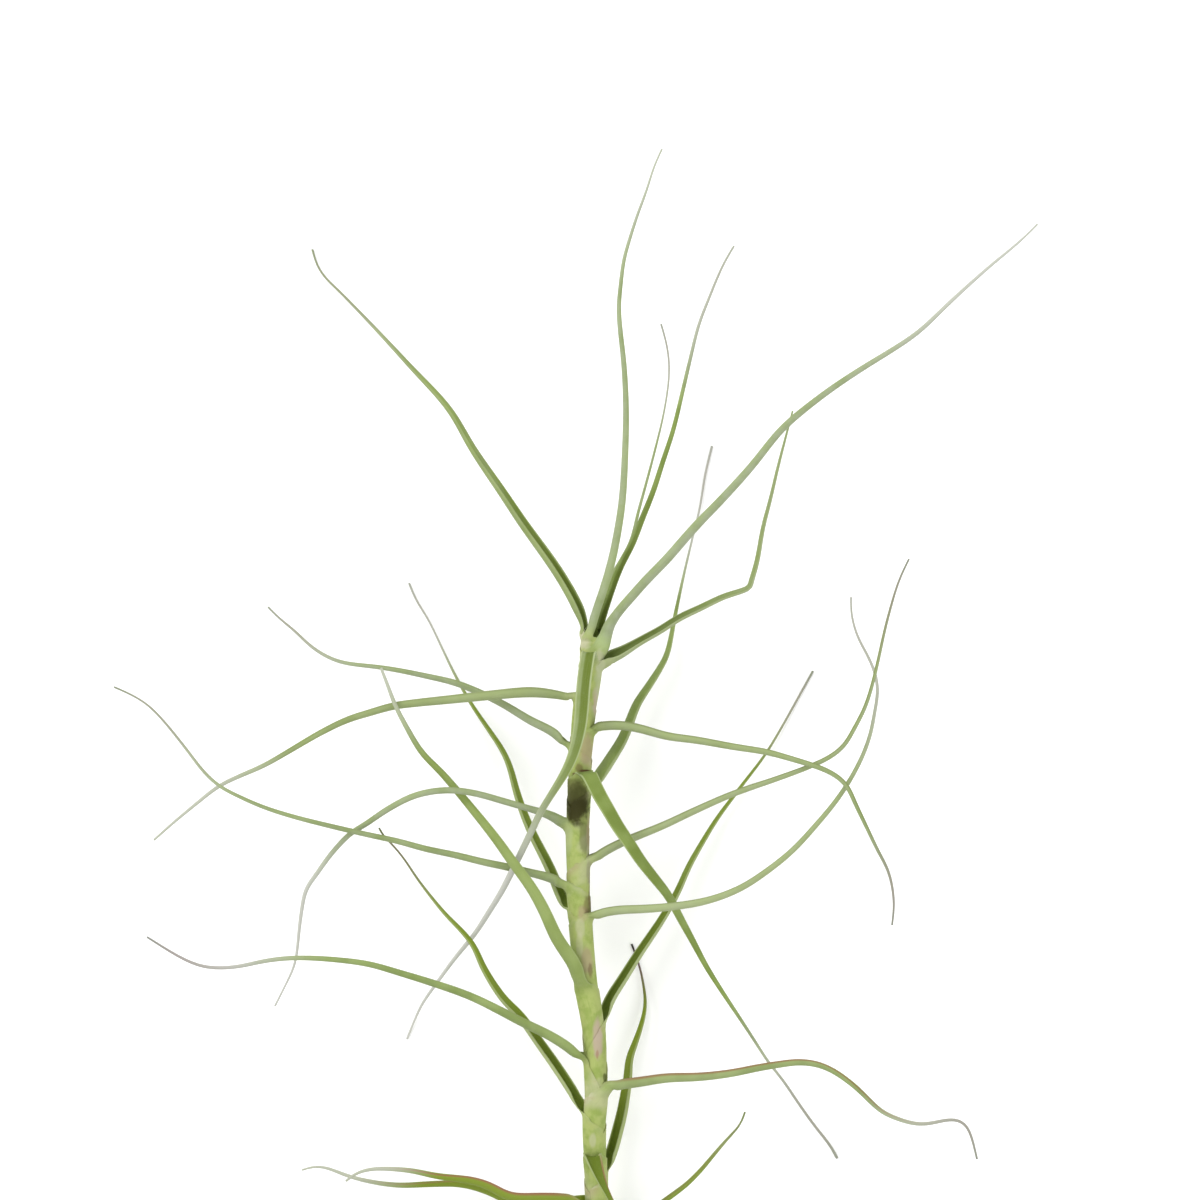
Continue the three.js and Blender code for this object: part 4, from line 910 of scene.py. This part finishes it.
def leaf_material():
    n = Nodes("leaf_look")
    place = n.place()
    broad = n.noise(place, *BROAD)
    patches = n.noise(place, *PATCHES)
    scurf = n.noise(place, *SCURF)
    streaks = n.noise(n.stretched(STREAK_SCALES), *STREAKS)
    sheath = n.colour(SHEATH_GREEN, SHEATH, n.ramp(patches, *RAMPS["sheath"]))
    layers = [
        (FRESH, n.ramp(broad, *RAMPS["fresh"])),
        (WARM, "warm"),
        (GLAUCOUS, n.times("bloom", n.ramp(patches, *RAMPS["bloom"]))),
        (MARGIN, "light"),
        (n.colour(sheath, CREAM, n.ramp(broad, *RAMPS["cream"])), "sheath"),
        (n.colour(CREAM, TAN, n.ramp(patches, *RAMPS["tan"])),
         n.times("membrane", n.ramp(broad, *RAMPS["dry"]))),
        (CHANNEL, n.times("channel", n.ramp(streaks, *RAMPS["channel"]))),
        (MARGIN, "margin"), (RIM, "rim"), (RED, "red"), (TIP_GREY, "grey"),
        (n.colour(TIP_MAUVE, TIP_BLACK, n.ramp("share", *BLACK_TIP)), "tip"),
        (OLIVE, n.ramp(streaks, *RAMPS["streaks"])),
        (SCALES, n.ramp(scurf, *RAMPS["scurf"])),
    ]
    ragged = n.ramp(patches, *RAMPS["ragged"])
    for x, y, half_width, half_height, tone, strength in SPOTS:
        centre = tuple((np.array([x, y, PLANT_MIDDLE[2]]) - PLANT_MIDDLE) * MM)
        away = n.away(place, centre, (1 / MM / half_width, 1 / MM / half_height, 0.0))
        amount = n.ramp(n.add(away, ragged), *SPOT_EDGE, strength, 0.0)
        layers.append((tone, n.times("clasp", amount)))
    # Painted shade in the axils, over everything else.
    layers.append((AXIL_SHADE, "axil"))
    colour = OLIVE
    for tone, amount in layers:
        colour = n.colour(colour, tone, amount)
    relief = n.add(streaks, n.times(scurf, SCURF_RELIEF))
    return n.finished({
        "Base Color": colour,
        "Specular IOR Level": LEAF_SPECULAR,
        "Roughness": n.ramp(scurf, *RAMPS["leaf_roughness"]),
        "Normal": n.bump(relief, *LEAF_BUMP),
    })


def core_material():
    n = Nodes("core_look")
    fibres = n.noise(n.stretched(FIBRE_SCALES), *FIBRES)
    pores = n.noise(n.place(), *PORES)
    colour = n.colour(CORE_DARK, CORE_PALE, n.ramp(fibres, *RAMPS["core"]))
    colour = n.colour(colour, CORE_PORES, n.ramp(pores, *RAMPS["pores"]))
    colour = n.colour(colour, CHANNEL, n.ramp("reach", *YOUNG_CORE))
    relief = n.add(fibres, n.times(pores, PORE_RELIEF))
    return n.finished({
        "Base Color": colour,
        "Roughness": n.ramp(fibres, *RAMPS["core_roughness"]),
        "Normal": n.bump(relief, *CORE_BUMP),
    })


# ---------- the plant ----------


def add_core(material):
    """The woody core that the sheaths grow on, with its cut end a little rough."""
    bottom = STEM_LINE[0][1]
    ends = len(CUT_SHARES)
    heights = np.pad(np.arange(bottom, CORE_TOP, CORE_STEP), ends,
                     constant_values=(bottom, CORE_TOP))
    innermost = LAYER_STEP * SHEATH_REACH + SHEATH_WALL + CORE_GAP
    scale = np.concatenate([CUT_SHARES, np.ones(len(heights) - 2 * ends), CUT_SHARES[::-1]])
    angles = np.arange(CORE_SIDES) * 2 * pi / CORE_SIDES
    generator = np.random.default_rng(SEED)
    grain = generator.normal(0, CORE_GRAIN, CORE_SIDES)
    rings = []
    for order, (height, share) in enumerate(zip(heights, scale)):
        centre, along, side, front = stem_at(height)
        radius = (value_at(STEM_TAPER, height) - innermost) * share * (1 + grain)
        rough = generator.normal(0, CUT_ROUGHNESS, CORE_SIDES)
        push = (rough - CUT_HOLLOW * (1 - share)) * (order < ends)
        rings.append(centre + np.outer(np.cos(angles) * radius, side)
                     + np.outer(np.sin(angles) * radius, front) - np.outer(push, along))
    piece = add_piece("stem_look", np.array(rings), material, {
        "side": np.tile(np.sin(angles), len(rings)),
        "ring": np.tile(np.cos(angles), len(rings)) + np.repeat(scale, CORE_SIDES) * CUT_SHIFT,
        "reach": np.repeat(heights, CORE_SIDES),
    })
    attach(piece, "root")
    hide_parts("stem")


leaf_look = leaf_material()
for order, own in enumerate(LEAVES):
    add_leaf(own, order, leaf_look)
add_core(core_material())

# ---------- the floor and the light ----------

# In metres:
FLOOR_HALF = 1.6
FLOOR_TOP = -0.0002
LIGHT_TARGET = (0, 0.05, 0.03)
LIGHT_SIZE = 1.6
LIGHTS = [("key", (-1.1, 0.9, 1.7), 29), ("fill", (1.3, -0.5, 1.5), 10)]
WORLD_STRENGTH = 0.9

floor_mesh = bpy.data.meshes.new("floor")
corners = [(x * FLOOR_HALF, y * FLOOR_HALF, 0) for x, y in ((-1, -1), (1, -1), (1, 1), (-1, 1))]
floor_mesh.from_pydata(corners, [], [(0, 1, 2, 3)])
floor_look = Nodes("floor_look").finished({"Base Color": WHITE, "Roughness": FLOOR_ROUGHNESS})
floor_mesh.materials.append(floor_look)
floor = placed("floor", floor_mesh, (0, 0, FLOOR_TOP))

for name, place, power in LIGHTS:
    light_data = bpy.data.lights.new(name, "AREA")
    light_data.shape = "DISK"
    light_data.size = LIGHT_SIZE
    light_data.energy = power
    direction = Vector(LIGHT_TARGET) - Vector(place)
    light = placed(name, light_data, place)
    light.rotation_euler = direction.to_track_quat("-Z", "Y").to_euler()

world = bpy.data.worlds.new("world")
world.use_nodes = True
background = world.node_tree.nodes["Background"]
background.inputs["Color"].default_value = (1.0, 1.0, 1.0, 1.0)
background.inputs["Strength"].default_value = WORLD_STRENGTH
scene.world = world
scene.view_settings.view_transform = "Standard"
